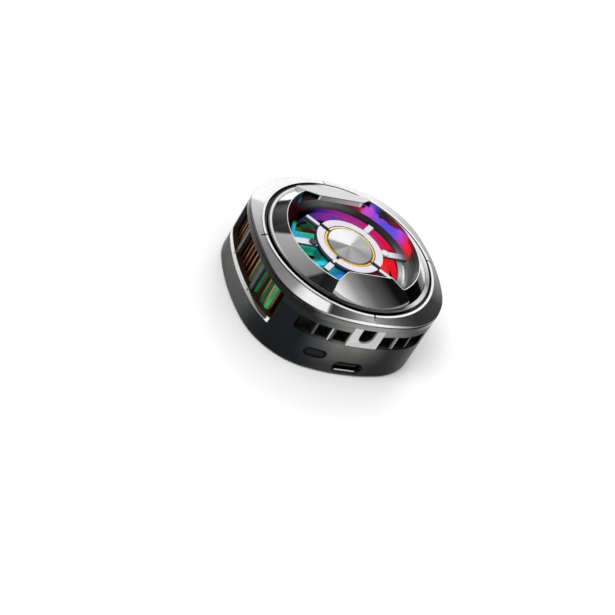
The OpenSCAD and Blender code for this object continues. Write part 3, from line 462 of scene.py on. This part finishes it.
CONE_TONES = [(0, 0.95), (143, 0.95), (145, 0.55), (160, 0.25), (172, 0.08), (181, 0.04), (182.5, 0.8),
              (200, 0.62), (222.5, 0.38), (224.5, 0.04), (300, 0.03), (336, 0.03), (338, 0.8),
              (350, 0.95), (360, 0.95)]
LIP_TONES = [(0, 0.25), (10, 0.2), (18, 0.06), (30, 0.015), (60, 0.02), (78, 0.06), (90, 0.07),
             (101, 0.05), (116, 0.02), (130, 0.005), (310, 0.008), (322, 0.15), (328, 0.6), (337, 0.95),
             (346, 0.8), (353, 0.4), (360, 0.25)]
TRIM_TONES = [(0, 0.95), (14, 0.9), (22, 0.1), (56, 0.05), (63, 0.15), (117, 0.15), (126, 0.9), (160, 0.6),
              (200, 0.7), (300, 0.9), (360, 0.95)]
CAP_WEDGES = [(0, 0.5), (40, 0.45), (56, 0.9), (110, 1.0), (160, 0.95), (172, 0.3), (200, 0.22),
              (212, 0.45), (240, 0.3), (262, 0.42), (300, 0.34), (322, 0.28), (345, 0.4), (360, 0.5)]

# Slant of the painted breaks of reflection on the cone, in degrees per millimetre from a radius
SLANT = 2.5
SLANT_R = 22.0

# Tones of painted reflection across the front tab and along the tabs' inner faces, by millimetres from the
# middle to the right.
# Those on the tab run aslant: they move to the right by a share of the way towards the front.
TAB_SKEW = 0.8
TAB_SKEW_Y = -20.0
TAB_FACE = [(-TAB_HALF_W, 0.9), (-6.51, 0.9), (-6.44, 0.32), (0.0, 0.45), (6.02, 0.6), (6.3, 0.9),
            (TAB_HALF_W, 0.9)]
TAB_TONES = [(-11.0, 0.8), (-5.0, 0.28), (0.0, 0.1), (6.0, 0.03), (8.0, 0.005)]
REAR_TAB_TONE = 0.48

# Light that the lip throws back, by plan angle: on its outer part, along its inner edge on the left and at
# the rear, and in a streak. The radii say where the crown and each of these lights begin and end.
LIP_CROWN_R = (17.7, 18.9)
LIP_GLOW_R = (16.6, 18.2)
LIP_EDGE_R = (17.2, 16.6)
REAR_EDGE_R = (16.95, 16.8)
LIP_STREAK_R = (16.3, 17.4)
LIP_GLOW = [(0, 0.1), (12, 0.07), (25, 0.035), (50, 0.02), (62, 0.025), (80, 0.07), (95, 0.1),
            (106, 0.07), (118, 0.025), (128, srgb(38, 6, 14)), (148, srgb(34, 5, 12)), (165, 0.0),
            (310, 0.0), (330, 0.08), (360, 0.1)]
LIP_EDGE = [(0, 0.0), (140, 0.0), (150, 0.8), (228, 0.8), (236, 0.0), (360, 0.0)]
REAR_EDGE = [(0, 0.0), (10, 0.0), (16, 1.0), (85, 1.0), (105, 0.5), (120, 0.0), (360, 0.0)]
LIP_STREAK = [(0, 0.12), (8, 0.05), (15, 0.0), (316, 0.0), (326, 0.2), (338, 0.55), (348, 0.4),
              (360, 0.12)]

# Shade in the moat between the bezel's crest and the cowl, by plan angle
MOAT_SHADE = [(0, 0.0), (92, 0.0), (100, 1.0), (150, 1.0), (175, 0.85), (205, 1.0), (216, 0.0),
              (360, 0.0)]

# Share of the cone's sloping face whose painted reflection is shown matt, not metallic, by plan angle
CONE_PALE = [(0, 0.7), (50, 0.7), (60, 0.0), (330, 0.0), (337, 0.7), (360, 0.7)]


def polish(s, tone, rough=0.06, edge=0.12):
    """Polished chrome whose base colour is the given tone of painted reflections, with faint turning marks
    and a little wear.
    """
    worn = s.mix(1.0, tone, grey(0.75), "MULTIPLY")
    wear = s.between(s.noise(1.5, 3.0), 0.45, 0.7, 0.0, 0.25)
    s.set(Metallic=1.0, Base_Color=s.mix(wear, tone, worn))
    marks = s.math("SINE", s.times(s.radius(), CHROME_MARKS))
    s.set(Roughness=s.between(marks, -1.0, 1.0, rough - 0.02, rough + 0.02))
    s.set(Normal=s.bump(s.noise(1.2), 0.001, s.edge(edge)))
    return s.material


def bezel_chrome():
    """Bezel: its top, its skirt in two bands and its crest each mirror their own part of a room."""
    s = Surface("bezel_chrome")
    z = s.axes()[2]
    skirt = s.mix(s.step(z, SKIRT_GROOVE_Z), s.around(SKIRT_LOW), s.around(SKIRT_HIGH))
    tone = s.mix(s.step(s.facing()[2], 0.5, 0.1), skirt, s.around(BEZEL_TONES))
    tone = s.mix(s.step(z, CREST_TOP_Z), tone, s.around(CREST_TONES))
    inner = s.times(s.between(s.radius(), CREST_IN + 0.04, CREST_IN + 0.02), s.around(MOAT_SHADE))
    return polish(s, s.mix(inner, tone, grey(0.015)))


def cowl_chrome():
    """Cowl of painted reflections: a cone with slanting breaks of light, tabs with pale faces, a front tab
    that fades to black, and painted shade in the moat and on its upright faces inside the mouth.
    """
    s = Surface("dark_chrome")
    x, y, _ = s.axes()
    _, ny, nz = s.facing()
    slant = s.times(s.minus(s.radius(), SLANT_R), SLANT)
    across = s.plus(x, s.times(s.minus(y, TAB_SKEW_Y), TAB_SKEW))
    tab = s.mix(s.step(y, 0.0, 1.0), s.by_length(across, TAB_TONES), grey(REAR_TAB_TONE))
    tone = s.mix(s.between(nz, 0.8, 0.85), s.around(CONE_TONES, shift=slant), tab)
    tone = s.mix(s.between(s.radius(), MOAT_IN, MOAT_IN + 0.3), tone, grey(0.02))
    upright = s.between(s.absolute(nz), 0.35, 0.25)
    outside = s.times(upright, s.between(s.radius(), MOUTH_R + 0.2, MOUTH_R + 0.3))
    tone = s.mix(upright, tone, s.mix(outside, grey(0.02), grey(REAR_TAB_TONE)))
    polish(s, tone, edge=0.1)
    face = s.times(s.between(s.absolute(ny), 0.9, 0.95), s.between(s.absolute(y), TAB_Y + 0.2, TAB_Y + 0.1))
    face = s.times(face, upright)
    pale = s.times(s.around(CONE_PALE), s.between(s.absolute(s.minus(nz, 0.7)), 0.12, 0.08))
    matt = s.math("MAXIMUM", s.math("MAXIMUM", face, outside), pale)
    s.set(Base_Color=s.mix(face, tone, s.by_length(x, TAB_FACE)), Metallic=s.minus(1.0, matt))
    return s.material


def ring_chrome():
    """Ring of painted reflections, shaded along its outer edge where the moat is in painted shade."""
    s = Surface("ring_grey")
    outer = s.times(s.step(s.radius(), MOAT_IN, 0.1), s.around(MOAT_SHADE))
    return polish(s, s.mix(outer, s.around(RING_TONES), grey(0.03)), 0.1)


def lip_chrome():
    """Near-black polished lip with one soft bright stretch of painted reflection along its crown, and
    painted light that the ring and blades throw on it.
    """
    s = Surface("lip_black")
    r = s.radius()
    crown = s.band(r, *LIP_CROWN_R, 0.3)
    glow = s.mix(s.between(r, *LIP_GLOW_R), BLACK, s.around(LIP_GLOW))
    streak = s.mix(1.0, glow, s.around(LIP_STREAK), "LIGHTEN")
    glow = s.mix(s.band(r, *LIP_STREAK_R, 0.4), glow, streak)
    edge = s.times(s.around(LIP_EDGE), s.between(r, *LIP_EDGE_R))
    glow = s.mix(edge, glow, s.around(BLADE_COLOURS, BLADE_MIDDLE))
    rear = s.times(s.around(REAR_EDGE), s.between(r, *REAR_EDGE_R))
    s.set(Emission_Color=s.mix(rear, glow, s.around(RING_COLOURS)), Emission_Strength=1.0)
    s.set(Specular_Tint=BLACK)
    return polish(s, s.mix(crown, grey(0.006), s.around(LIP_TONES)), 0.12)


def trim_chrome():
    """Bright edge of the opening in painted reflections, darker along the rear tab."""
    s = Surface("edge_chrome")
    s.set(Base_Color=s.mix(s.uneven(0.0, 0.1, 0.8), s.around(TRIM_TONES), grey(0.4)))
    s.set(Metallic=0.3, Roughness=s.uneven(0.2, 0.3, 0.5))
    return s.material


def spun_cap():
    """Cap of spun metal: fine circles, with the light fanned out in wedges."""
    s = Surface("cap_metal")
    s.set(Metallic=1.0, Base_Color=s.mix(s.uneven(0.0, 0.1, 0.5), s.around(CAP_WEDGES), grey(0.5)))
    circles = s.math("SINE", s.times(s.radius(), CAP_MARKS))
    s.set(Roughness=s.between(circles, -1.0, 1.0, 0.26, 0.36))
    s.set(Normal=s.bump(circles, 0.003, s.edge(0.15)))
    return s.material


def gilt():
    """Gold ring, with painted highlights paler where the light falls on it and painted shade where the
    guard's ring has its gaps.
    """
    s = Surface("gold_trim")
    # Painted shade under the gaps of the guard's ring; the pale golds are painted highlights
    dark = srgb(40, 40, 42)
    tone = s.around([(0, srgb(236, 200, 120)), (50, srgb(250, 230, 176)), (100, srgb(255, 240, 200)),
                     (130, srgb(255, 224, 140)), (131, dark), (139, dark), (140, srgb(255, 219, 118)),
                     (155, srgb(255, 208, 60)), (219, srgb(252, 199, 48)), (220, dark), (230, dark),
                     (231, srgb(251, 197, 45)), (240, srgb(250, 196, 44)), (290, srgb(226, 176, 60)),
                     (311, srgb(230, 184, 78)), (312, dark), (318, dark), (319, srgb(231, 187, 84)),
                     (360, srgb(236, 200, 120))])
    s.set(Base_Color=s.mix(s.uneven(0.0, 0.12, 0.6), tone, srgb(200, 150, 40)))
    s.set(Metallic=0.7, Roughness=s.uneven(0.22, 0.32, 0.4))
    s.set(Normal=s.bump(s.noise(0.3), 0.003, s.edge(0.1)))
    return s.material


# Lit finishes

def lit(name, colour_of, base=0.02, rough=0.2, glow=1.0):
    s = Surface(name)
    colour = colour_of(s)
    s.set(Base_Color=s.mix(0.9, colour, grey(base)), Emission_Color=colour, Emission_Strength=glow)
    s.set(Roughness=s.uneven(rough - 0.05, rough + 0.05, 1.0))
    s.set(Normal=s.bump(s.noise(0.6), 0.004, s.edge(0.1)))
    return s.material


# Light guide inside the cowl's mouth
WALL_IN = 20.12
WALL_OUT = 20.37
WALL_LOW = 20.45
WALL_HIGH = 24.8
WALL_REACH = 57.0
WALL_COLUMNS = 26
WALL_ROWS = 5
FACET_DEPTH = 0.16
FACET_RIM = 0.1
FACET_SHIFT = (0.6, 0.5)

# Height of the bright band on the light guide, as a share of the guide's height
BAND_TOP = [(0, 0.3), (8, 0.7), (16, 1.0), (24, 0.9), (30, 0.66), (38, 0.5), (46, 0.44), (51, 0.6),
            (55, 0.8), (62, 0.5), (300, 0.0), (360, 0.3)]

# Colours of that band and of the dark one above it, by plan angle
LOW_WALL = [(0, srgb(74, 38, 40)), (4, srgb(214, 16, 24)), (9, srgb(238, 20, 40)),
            (14, srgb(226, 30, 96)), (18, srgb(200, 54, 170)), (23, srgb(150, 68, 215)),
            (29, srgb(106, 78, 238)), (37, srgb(100, 78, 238)), (44, srgb(122, 74, 228)),
            (50, srgb(152, 70, 214)), (55, srgb(192, 70, 200)), (59, srgb(206, 76, 190)),
            (62, srgb(140, 32, 44)), (72, srgb(84, 28, 46)), (90, srgb(60, 30, 80)),
            (97, srgb(30, 14, 34)), (100, srgb(24, 100, 120)), (103, srgb(14, 8, 16)),
            (112, srgb(44, 8, 16)), (118, srgb(12, 8, 12)), (120, srgb(24, 110, 130)),
            (122, srgb(10, 8, 12)), (150, srgb(36, 6, 14)), (180, srgb(14, 12, 20)),
            (215, srgb(8, 40, 46)), (240, srgb(12, 20, 60)), (302, srgb(20, 20, 22)),
            (318, srgb(34, 34, 36)), (335, srgb(62, 62, 64)), (352, srgb(60, 58, 60)),
            (360, srgb(74, 38, 40))]

HIGH_WALL = [(0, srgb(44, 14, 16)), (8, srgb(120, 14, 22)), (20, srgb(112, 12, 22)),
             (32, srgb(96, 12, 24)), (40, srgb(40, 10, 16)), (46, srgb(16, 22, 24)),
             (50, srgb(40, 50, 150)), (54, srgb(84, 74, 226)), (58, srgb(120, 70, 200)),
             (62, srgb(16, 12, 20)), (118, srgb(8, 8, 12)), (121, srgb(30, 60, 110)),
             (124, srgb(6, 8, 12)), (150, srgb(20, 5, 10)), (200, srgb(8, 20, 24)),
             (302, srgb(14, 14, 16)), (320, srgb(50, 50, 53)), (330, srgb(96, 96, 100)),
             (342, srgb(70, 70, 73)), (352, srgb(40, 32, 34)), (360, srgb(44, 14, 16))]


def wall_colour(s):
    """A bright band of light with a dark one above it, cut into facets."""
    z = s.axes()[2]
    rise = s.plus(s.between(z, WALL_LOW, WALL_HIGH), s.between(s.cells(2.4), 0.0, 1.0, -0.1, 0.1))
    above = s.between(s.minus(rise, s.around(BAND_TOP)), -0.03, 0.05)
    colour = s.mix(above, s.around(LOW_WALL), s.around(HIGH_WALL))
    return s.mix(s.between(s.cells(1.9), 0.0, 1.0, 0.0, 0.25), colour, BLACK)


def blade_colour(s):
    """Light from the ring, fading towards the hub, with streaks across each blade."""
    streaks = s.between(s.noise(0.9, 3.0, (1, 1, 0.3)), 0.4, 0.65, 0.0, 0.4)
    tone = s.mix(streaks, s.around(BLADE_COLOURS, BLADE_MIDDLE), BLACK)
    return s.mix(s.between(s.radius(), *HUB_SHADE_R, 0.7, 0.0), tone, srgb(4, 36, 40))


def ring_colour(s):
    return s.mix(s.between(s.noise(2.0, 2.0), 0.4, 0.7, 0.0, 0.2), s.around(RING_COLOURS), BLACK)


# A fixed chance for each fin: steps of this share, counted from a start
FIN_STEP = 0.618
FIN_START = 0.222

# Colours of the fins by that chance: painted highlights on their edges, painted shade on their sides, and
# painted light from the board
FIN_EDGE_HIGHLIGHTS = [(0.0, srgb(140, 78, 38)), (0.5, srgb(196, 120, 66)), (1.0, srgb(234, 168, 108))]
FIN_SIDE_SHADE = [(0.0, srgb(22, 14, 10)), (0.6, srgb(72, 40, 23)), (1.0, srgb(118, 68, 36))]
FIN_GREENS = [(0.0, srgb(3, 18, 14)), (0.4, srgb(8, 60, 44)), (0.75, srgb(26, 124, 84)),
              (1.0, srgb(76, 206, 132))]


def fin_copper():
    """Copper fins with painted highlights on their edges, painted shade on their sides, and painted light:
    green near the board and the fan's colours under the blades.
    """
    s = Surface("sink_copper")
    x, y, z = s.axes()
    row = s.plus(s.math("DIVIDE", y, FIN_PITCH), 0.5)
    chance = s.math("FRACT", s.plus(s.times(s.math("FLOOR", row), FIN_STEP), FIN_START))
    off_middle = s.absolute(s.minus(s.math("FRACT", row), 0.5))
    streak = s.between(s.noise(0.8, 3.0, (1, 1, 0.15)), 0.35, 0.65, 0.0, 0.5)
    edge = s.mix(s.between(off_middle, 0.03, 0.1, 0.1, 0.9), s.ramp(chance, FIN_EDGE_HIGHLIGHTS), srgb(66, 34, 17))
    edge = s.mix(streak, edge, srgb(44, 24, 14))
    side = s.ramp(chance, FIN_SIDE_SHADE)
    is_side = s.between(s.absolute(s.facing()[1]), 0.3, 0.7)
    end = s.between(s.absolute(y), *FIN_END_Y)
    s.set(Base_Color=s.mix(end, s.mix(is_side, edge, side), srgb(96, 88, 62)))
    s.set(Metallic=0.6, Roughness=s.uneven(0.3, 0.5, 0.7))
    near = s.times(s.between(y, *BOARD_GLOW_Y), s.between(s.absolute(x), *BOARD_GLOW_X))
    near = s.times(near, s.between(y, *BOARD_GLOW_END_Y))
    green = s.mix(streak, s.ramp(chance, FIN_GREENS), BLACK)
    board_glow = s.mix(s.times(near, is_side), BLACK, green)
    under_fan = s.times(s.between(s.radius(), *FAN_GLOW_R), s.between(z, *FAN_GLOW_Z))
    under_fan = s.times(under_fan, s.between(streak, 0.0, 0.5, 0.9, 0.6))
    fan_glow = s.mix(under_fan, BLACK, s.around(BLADE_COLOURS, FIN_MIDDLE))
    s.set(Emission_Color=s.mix(1.0, board_glow, fan_glow, "ADD"), Emission_Strength=1.0)
    s.set(Normal=s.bump(s.noise(0.4, 2.0, (1, 1, 0.2)), 0.01, s.edge(0.08)))
    return s.material


def circuit_green():
    """Solder mask with faint copper tracks under it."""
    s = Surface("board_green")
    x, y, _ = s.axes()
    rows = s.math("SINE", s.times(x, BOARD_TRACKS))
    tracks = s.math("MAXIMUM", rows, s.math("SINE", s.times(y, BOARD_TRACKS)))
    s.set(Base_Color=s.mix(s.between(tracks, 0.85, 0.95, 0.0, 0.6), srgb(12, 66, 44), srgb(40, 110, 74)))
    s.set(Roughness=s.uneven(0.3, 0.42, 1.0))
    s.set(Normal=s.bump(tracks, 0.01, s.edge(0.1)))
    return s.material


def wound_copper():
    s = Surface("coil_copper")
    z = s.axes()[2]
    turns = s.math("SINE", s.times(z, COIL_TURNS))
    copper = s.mix(s.between(turns, -1.0, 1.0), srgb(120, 58, 24), srgb(206, 120, 66))
    s.set(Metallic=1.0, Base_Color=copper)
    s.set(Roughness=s.uneven(0.25, 0.4, 0.5))
    s.set(Normal=s.bump(turns, 0.03, s.edge(0.1)))
    return s.material


# A material for each node

SATIN = satin_white("white_trim")
STEEL = metal("steel", srgb(168, 170, 174), 0.32)
INNER = plastic("inner_plastic", srgb(36, 37, 40), 0.45)
SMOKED = plastic("guard_black", srgb(16, 16, 18), 0.3)
GRILLE = silver("grille_silver", grille_tone)
SILL = silver("sill_silver", sill_tone)
POST = plastic("post_grey", srgb(38, 38, 40), 0.35)
BOARD = circuit_green()

FINISHES = {
    "contact_pad": rubber("pad_rubber", srgb(38, 40, 43)),
    "thermal_film": rubber("film", srgb(150, 154, 160)),
    "cold_plate": metal("plate_metal", srgb(206, 208, 212), 0.34, (1, 6, 1)),
    "base_cover": INNER,
    "magnets": metal("magnet", srgb(150, 152, 156), 0.3),
    "magnet_shield": STEEL,
    "base_screws": STEEL,
    "housing": glossy_black(),
    "insulation_foam": foam("foam", srgb(58, 59, 62)),
    "peltier_ceramics": plastic("ceramic_white", srgb(238, 238, 234), 0.5),
    "peltier_pellets": metal("pellet", srgb(96, 98, 104), 0.5),
    "peltier_leads": plastic("wire_red", srgb(176, 42, 36), 0.4),
    "heat_sink": fin_copper(),
    "sink_screws": STEEL,
    "control_board": BOARD,
    "board_screws": STEEL,
    "board_chips": plastic("chip_black", srgb(34, 35, 38), 0.5),
    "usb_shell": port_shell(),
    "usb_tongue": plastic("tongue_black", srgb(6, 6, 7), 0.7),
    "tact_switch": plastic("switch_black", srgb(40, 41, 44), 0.45),
    "switch_plunger": plastic("cream_plastic", srgb(214, 206, 186), 0.45),
    "power_button": button_face(),
    "fan_leads": plastic("wire_black", srgb(30, 31, 34), 0.45),
    "fan_frame": plastic("deck_plastic", srgb(16, 17, 19), 0.35),
    "frame_screws": STEEL,
    "light_ring": lit("light_diffuser", ring_colour),
    "duct_lip": lip_chrome(),
    "cowl_liner": lit("liner_diffuser", wall_colour),
    "led_board": BOARD,
    "leds": plastic("led_white", srgb(244, 240, 220), 0.3),
    "stator_core": STEEL,
    "stator_coils": wound_copper(),
    "bearing": metal("bearing_brass", srgb(196, 158, 78), 0.3),
    "shaft": STEEL,
    "thrust_washer": plastic("washer_white", srgb(230, 228, 220), 0.4),
    "rotor_yoke": STEEL,
    "rotor_magnet": metal("rotor_magnet", srgb(70, 72, 76), 0.45),
    "impeller": lit("blade_plastic", blade_colour),
    "guard_base": SMOKED,
    "guard_arms": satin_white("arm_white", ARM_SHADE_X),
    "arm_screws": head_metal(),
    "guard_ring": SATIN,
    "guard_pointers": SATIN,
    "gold_ring": gilt(),
    "hub_cap": spun_cap(),
    "bezel": bezel_chrome(),
    "inner_ring": ring_chrome(),
    "cowl": cowl_chrome(),
    "vent_grille_front": GRILLE,
    "vent_grille_rear": GRILLE,
    "window_sill_left": SILL,
    "window_sill_right": SILL,
    "window_posts_left": POST,
    "window_posts_right": POST,
}

for name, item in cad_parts.items():
    item.data.materials.clear()
    item.data.materials.append(FINISHES[name])


# Pieces of the scene

def wobble(i, j):
    """A fixed random number from 0 to 1 for a grid point."""
    value = math.sin(i * 12.9898 + j * 78.233) * 43758.5453
    return value - math.floor(value)


def on_circle(r, degrees, z):
    angle = math.radians(degrees)
    return Vector((r * math.cos(angle), r * math.sin(angle), z))


def wall_arc(made, middle):
    """One faceted strip, closed at the back and along its edges."""
    inner = []
    outer = []
    for i in range(WALL_COLUMNS + 1):
        front = []
        back = []
        for j in range(WALL_ROWS + 1):
            inside = 0 < i < WALL_COLUMNS and 0 < j < WALL_ROWS
            shift = wobble(i, j) - 0.5 if inside else 0.0
            angle = middle - WALL_REACH + 2 * WALL_REACH * (i + FACET_SHIFT[0] * shift) / WALL_COLUMNS
            z = WALL_LOW + (WALL_HIGH - WALL_LOW) * (j + FACET_SHIFT[1] * shift) / WALL_ROWS
            r = WALL_IN + (FACET_DEPTH * wobble(i + 40, j) if inside else FACET_RIM)
            front.append(made.verts.new(on_circle(r, angle, z) * MM))
            back.append(made.verts.new(on_circle(WALL_OUT, angle, z) * MM))
        inner.append(front)
        outer.append(back)
    for i in range(WALL_COLUMNS):
        for j in range(WALL_ROWS):
            a, b, c, d = inner[i][j], inner[i + 1][j], inner[i + 1][j + 1], inner[i][j + 1]
            if wobble(i + 9, j) > 0.5:
                made.faces.new((a, d, c))
                made.faces.new((a, c, b))
            else:
                made.faces.new((a, d, b))
                made.faces.new((b, d, c))
            made.faces.new((outer[i][j], outer[i + 1][j], outer[i + 1][j + 1], outer[i][j + 1]))
    for i in range(WALL_COLUMNS):
        for j in (0, WALL_ROWS):
            made.faces.new((inner[i][j], inner[i + 1][j], outer[i + 1][j], outer[i][j]))
    for j in range(WALL_ROWS):
        for i in (0, WALL_COLUMNS):
            made.faces.new((inner[i][j], inner[i][j + 1], outer[i][j + 1], outer[i][j]))


def add_piece(name, made, material):
    """A piece of the scene that belongs to the body."""
    bmesh.ops.recalc_face_normals(made, faces=made.faces)
    mesh = bpy.data.meshes.new(name)
    made.to_mesh(mesh)
    made.free()
    mesh.materials.append(material)
    piece = bpy.data.objects.new(name, mesh)
    bpy.context.scene.collection.objects.link(piece)
    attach(piece, "body")


def light_wall():
    """Faceted light guide inside the cowl's mouth, in two arcs between the tabs."""
    made = bmesh.new()
    for middle in (0.0, 180.0):
        wall_arc(made, middle)
    add_piece("light_wall", made, lit("facet_light", wall_colour, rough=0.12))


# White roots of the two wide markers. The rear one is a bar that lies a little over the guard's ring.
ROOT_ANGLE = 225.0
ROOT_W = 0.84
ROOT_IN = 8.7
ROOT_OUT = 10.85
BAR_ANGLE = 45.0
BAR_W = 1.7
BAR_IN = 7.95
BAR_RING = 10.24
BAR_OUT = 11.18
BAR_GAP = 0.01
BAR_LIFT = 0.06
ROOT_EDGE = 0.02


def root_block(made, turn, start, stop, width, low, high, high_end):
    """A bar along a ray, whose top may fall towards its outer end."""
    half = width / 2
    ends = [(start, high), (stop, high_end)]
    corners = [(r, side, z) for r, top in ends for side in (-half, half) for z in (low, top)]
    a, b, c, d, e, f, g, h = [made.verts.new(turn @ (Vector(corner) * MM)) for corner in corners]
    for face in ((a, b, d, c), (e, g, h, f), (a, e, f, b), (c, d, h, g), (b, f, h, d), (a, c, g, e)):
        made.faces.new(face)


def pointer_roots():
    """White roots of the two wide markers: one in its gap of the guard's ring, the other over the ring."""
    low, high = (corner[2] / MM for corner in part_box("guard_ring"))
    marker_low, marker_high = (corner[2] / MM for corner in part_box("guard_pointers"))
    lifted = high + BAR_LIFT
    rear = Matrix.Rotation(math.radians(BAR_ANGLE), 4, "Z")
    front = Matrix.Rotation(math.radians(ROOT_ANGLE), 4, "Z")
    made = bmesh.new()
    root_block(made, front, ROOT_IN, ROOT_OUT, ROOT_W, low, high, high)
    root_block(made, rear, BAR_IN, BAR_RING, BAR_W, high + BAR_GAP, lifted, lifted)
    root_block(made, rear, BAR_RING, BAR_OUT, BAR_W, marker_low, lifted, marker_high)
    rounding = ROOT_EDGE * MM
    bmesh.ops.bevel(made, geom=made.edges[:], offset=rounding, segments=2, affect="EDGES", profile=0.5)
    add_piece("pointer_roots", made, SATIN)


# Bead along the opening that stands in for the highlight on its polished edge: a thin round bar whose line
# is cut short at sharp corners
TRIM_R = 0.12
TRIM_SIDES = 8
TRIM_STEP = 3.0
CORNER_CUT = 0.5
CORNER_STEPS = 4

# A corner counts as straight where the cosine of its angle is less than this
STRAIGHT = -0.97


def opening_corners():
    """Corners of the opening's edge from the rear tab's right end, round both tabs."""
    x, y, z = TAB_SIDE_END
    corners = [(x, y, z), (TAB_HALF_W, TAB_Y, TAB_Z), (-TAB_HALF_W, TAB_Y, TAB_Z), (-x, y, z)]
    rear = [Vector(corner) for corner in corners]
    front = [Vector((-p.x, -p.y, p.z)) for p in rear]
    return rear, front


def arc_points(start, stop):
    steps = int((stop - start) / TRIM_STEP)
    return [on_circle(MOUTH_R, start + (stop - start) * i / steps, MOUTH_Z) for i in range(1, steps)]


def rounded(points):
    """A closed line with its sharp corners rounded off."""
    line = []
    count = len(points)
    for i, point in enumerate(points):
        before = (points[i - 1] - point).normalized()
        after = (points[(i + 1) % count] - point).normalized()
        if before.dot(after) < STRAIGHT:
            line.append(point)
            continue
        for j in range(CORNER_STEPS + 1):
            t = j / CORNER_STEPS
            a = point + before * CORNER_CUT * (1 - t)
            b = point + after * CORNER_CUT * t
            line.append(a.lerp(b, t))
    return line


def edge_highlight_bead():
    """Thin bright bead along the edge of the cowl's opening, a painted highlight of the polished edge."""
    rear, front = opening_corners()
    points = arc_points(-TAB_SIDE_ANGLE, TAB_SIDE_ANGLE) + rear
    points += arc_points(180 - TAB_SIDE_ANGLE, 180 + TAB_SIDE_ANGLE) + front
    line = [p - Vector((0, 0, TRIM_R)) for p in rounded(points)]
    made = bmesh.new()
    rings = []
    count = len(line)
    for i, point in enumerate(line):
        along = (line[(i + 1) % count] - line[i - 1]).normalized()
        side = along.cross(Vector((0, 0, 1))).normalized()
        up = side.cross(along)
        ring = []
        for k in range(TRIM_SIDES):
            turn = 2 * math.pi * k / TRIM_SIDES
            out = side * math.cos(turn) + up * math.sin(turn)
            ring.append(made.verts.new((point + out * TRIM_R) * MM))
        rings.append(ring)
    for i in range(count):
        here, there = rings[i], rings[(i + 1) % count]
        for k in range(TRIM_SIDES):
            after = (k + 1) % TRIM_SIDES
            face = made.faces.new((here[k], here[after], there[after], there[k]))
            face.smooth = True
    add_piece("edge_highlight_bead", made, trim_chrome())


light_wall()
pointer_roots()
edge_highlight_bead()


# Studio

def floor():
    bpy.ops.mesh.primitive_plane_add(size=6.0)
    plane = bpy.context.object
    plane.name = "floor"
    s = Surface("floor_paint")
    s.set(Base_Color=s.vary(grey(0.88), 0.01, 60.0))
    s.set(Roughness=s.uneven(0.7, 0.8, 20.0))
    plane.data.materials.append(s.material)


# Grey of the room in reflections, of its even light and of the backdrop
ROOM_DARK = 0.03
ROOM_LIGHT = 0.78
BACKDROP = 0.98

# Soft panels round the object: direction in degrees, inner and outer half angle, brightness
PANELS = [
    (52, 35, 36, 46, 1.0),
    (354, 61, 13, 20, 1.0),
    (110, 16, 10, 24, 0.25),
    (160, 45, 38, 44, 0.5),
    (270, 18, 22, 40, 0.85),
    (325, 28, 14, 24, 0.6),
    (215, 12, 14, 24, 0.6),
    (270, 50, 6, 34, 0.6),
]


def direction(azimuth, elevation):
    a = math.radians(azimuth)
    e = math.radians(elevation)
    return Vector((math.cos(a) * math.cos(e), math.sin(a) * math.cos(e), math.sin(e)))


def lamp(name, place, size, power):
    light = bpy.data.lights.new(name, "AREA")
    light.shape = "DISK"
    light.size = size
    light.energy = power
    item = bpy.data.objects.new(name, light)
    item.location = place
    item.rotation_euler = (-Vector(place)).to_track_quat("-Z", "Y").to_euler()
    item.visible_glossy = False
    bpy.context.scene.collection.objects.link(item)


def studio():
    """Even light for the diffuse surfaces, and soft panels in a dark room for the polished ones."""
    world = bpy.data.worlds.new("studio")
    world.use_nodes = True
    bpy.context.scene.world = world
    n = Nodes(world.node_tree)
    back = world.node_tree.nodes["Background"]
    ray = n.node("LightPath")
    look = n.node("TexCoord").outputs["Generated"]
    panels = ROOM_DARK
    for azimuth, elevation, inner, outer, bright in PANELS:
        towards = n.node("VectorMath", {0: look, 1: direction(azimuth, elevation)}, operation="DOT_PRODUCT")
        low, high = math.cos(math.radians(outer)), math.cos(math.radians(inner))
        panels = n.math("MAXIMUM", panels, n.between(towards.outputs["Value"], low, high, 0.0, bright))
    soft = n.mix(ray.outputs["Is Glossy Ray"], grey(ROOM_LIGHT), panels)
    n.put(back.inputs["Color"], n.mix(ray.outputs["Is Camera Ray"], soft, grey(BACKDROP)))
    lamp("key_light", (-0.7, -0.25, 1.1), 0.7, 9.0)
    lamp("rim_light", (0.5, 0.8, 0.9), 0.6, 4.0)


def camera():
    """The photograph's camera: its place and its right, up and back directions."""
    data = bpy.data.cameras.new("camera")
    data.lens = 119.31
    data.sensor_width = 36.0
    data.clip_start = 0.01
    item = bpy.data.objects.new("camera", data)
    right = Vector((0.86613, -0.25367, 0.43065))
    up = Vector((-0.12683, 0.72188, 0.68029))
    back = Vector((-0.48345, -0.64384, 0.59308))
    item.matrix_world = Matrix.LocRotScale(Vector((-0.2810, -0.37275, 0.3405)),
                                           Matrix((right, up, back)).transposed().to_quaternion(), None)
    bpy.context.scene.collection.objects.link(item)
    bpy.context.scene.camera = item


floor()
studio()
camera()
bpy.context.scene.view_settings.view_transform = "Standard"
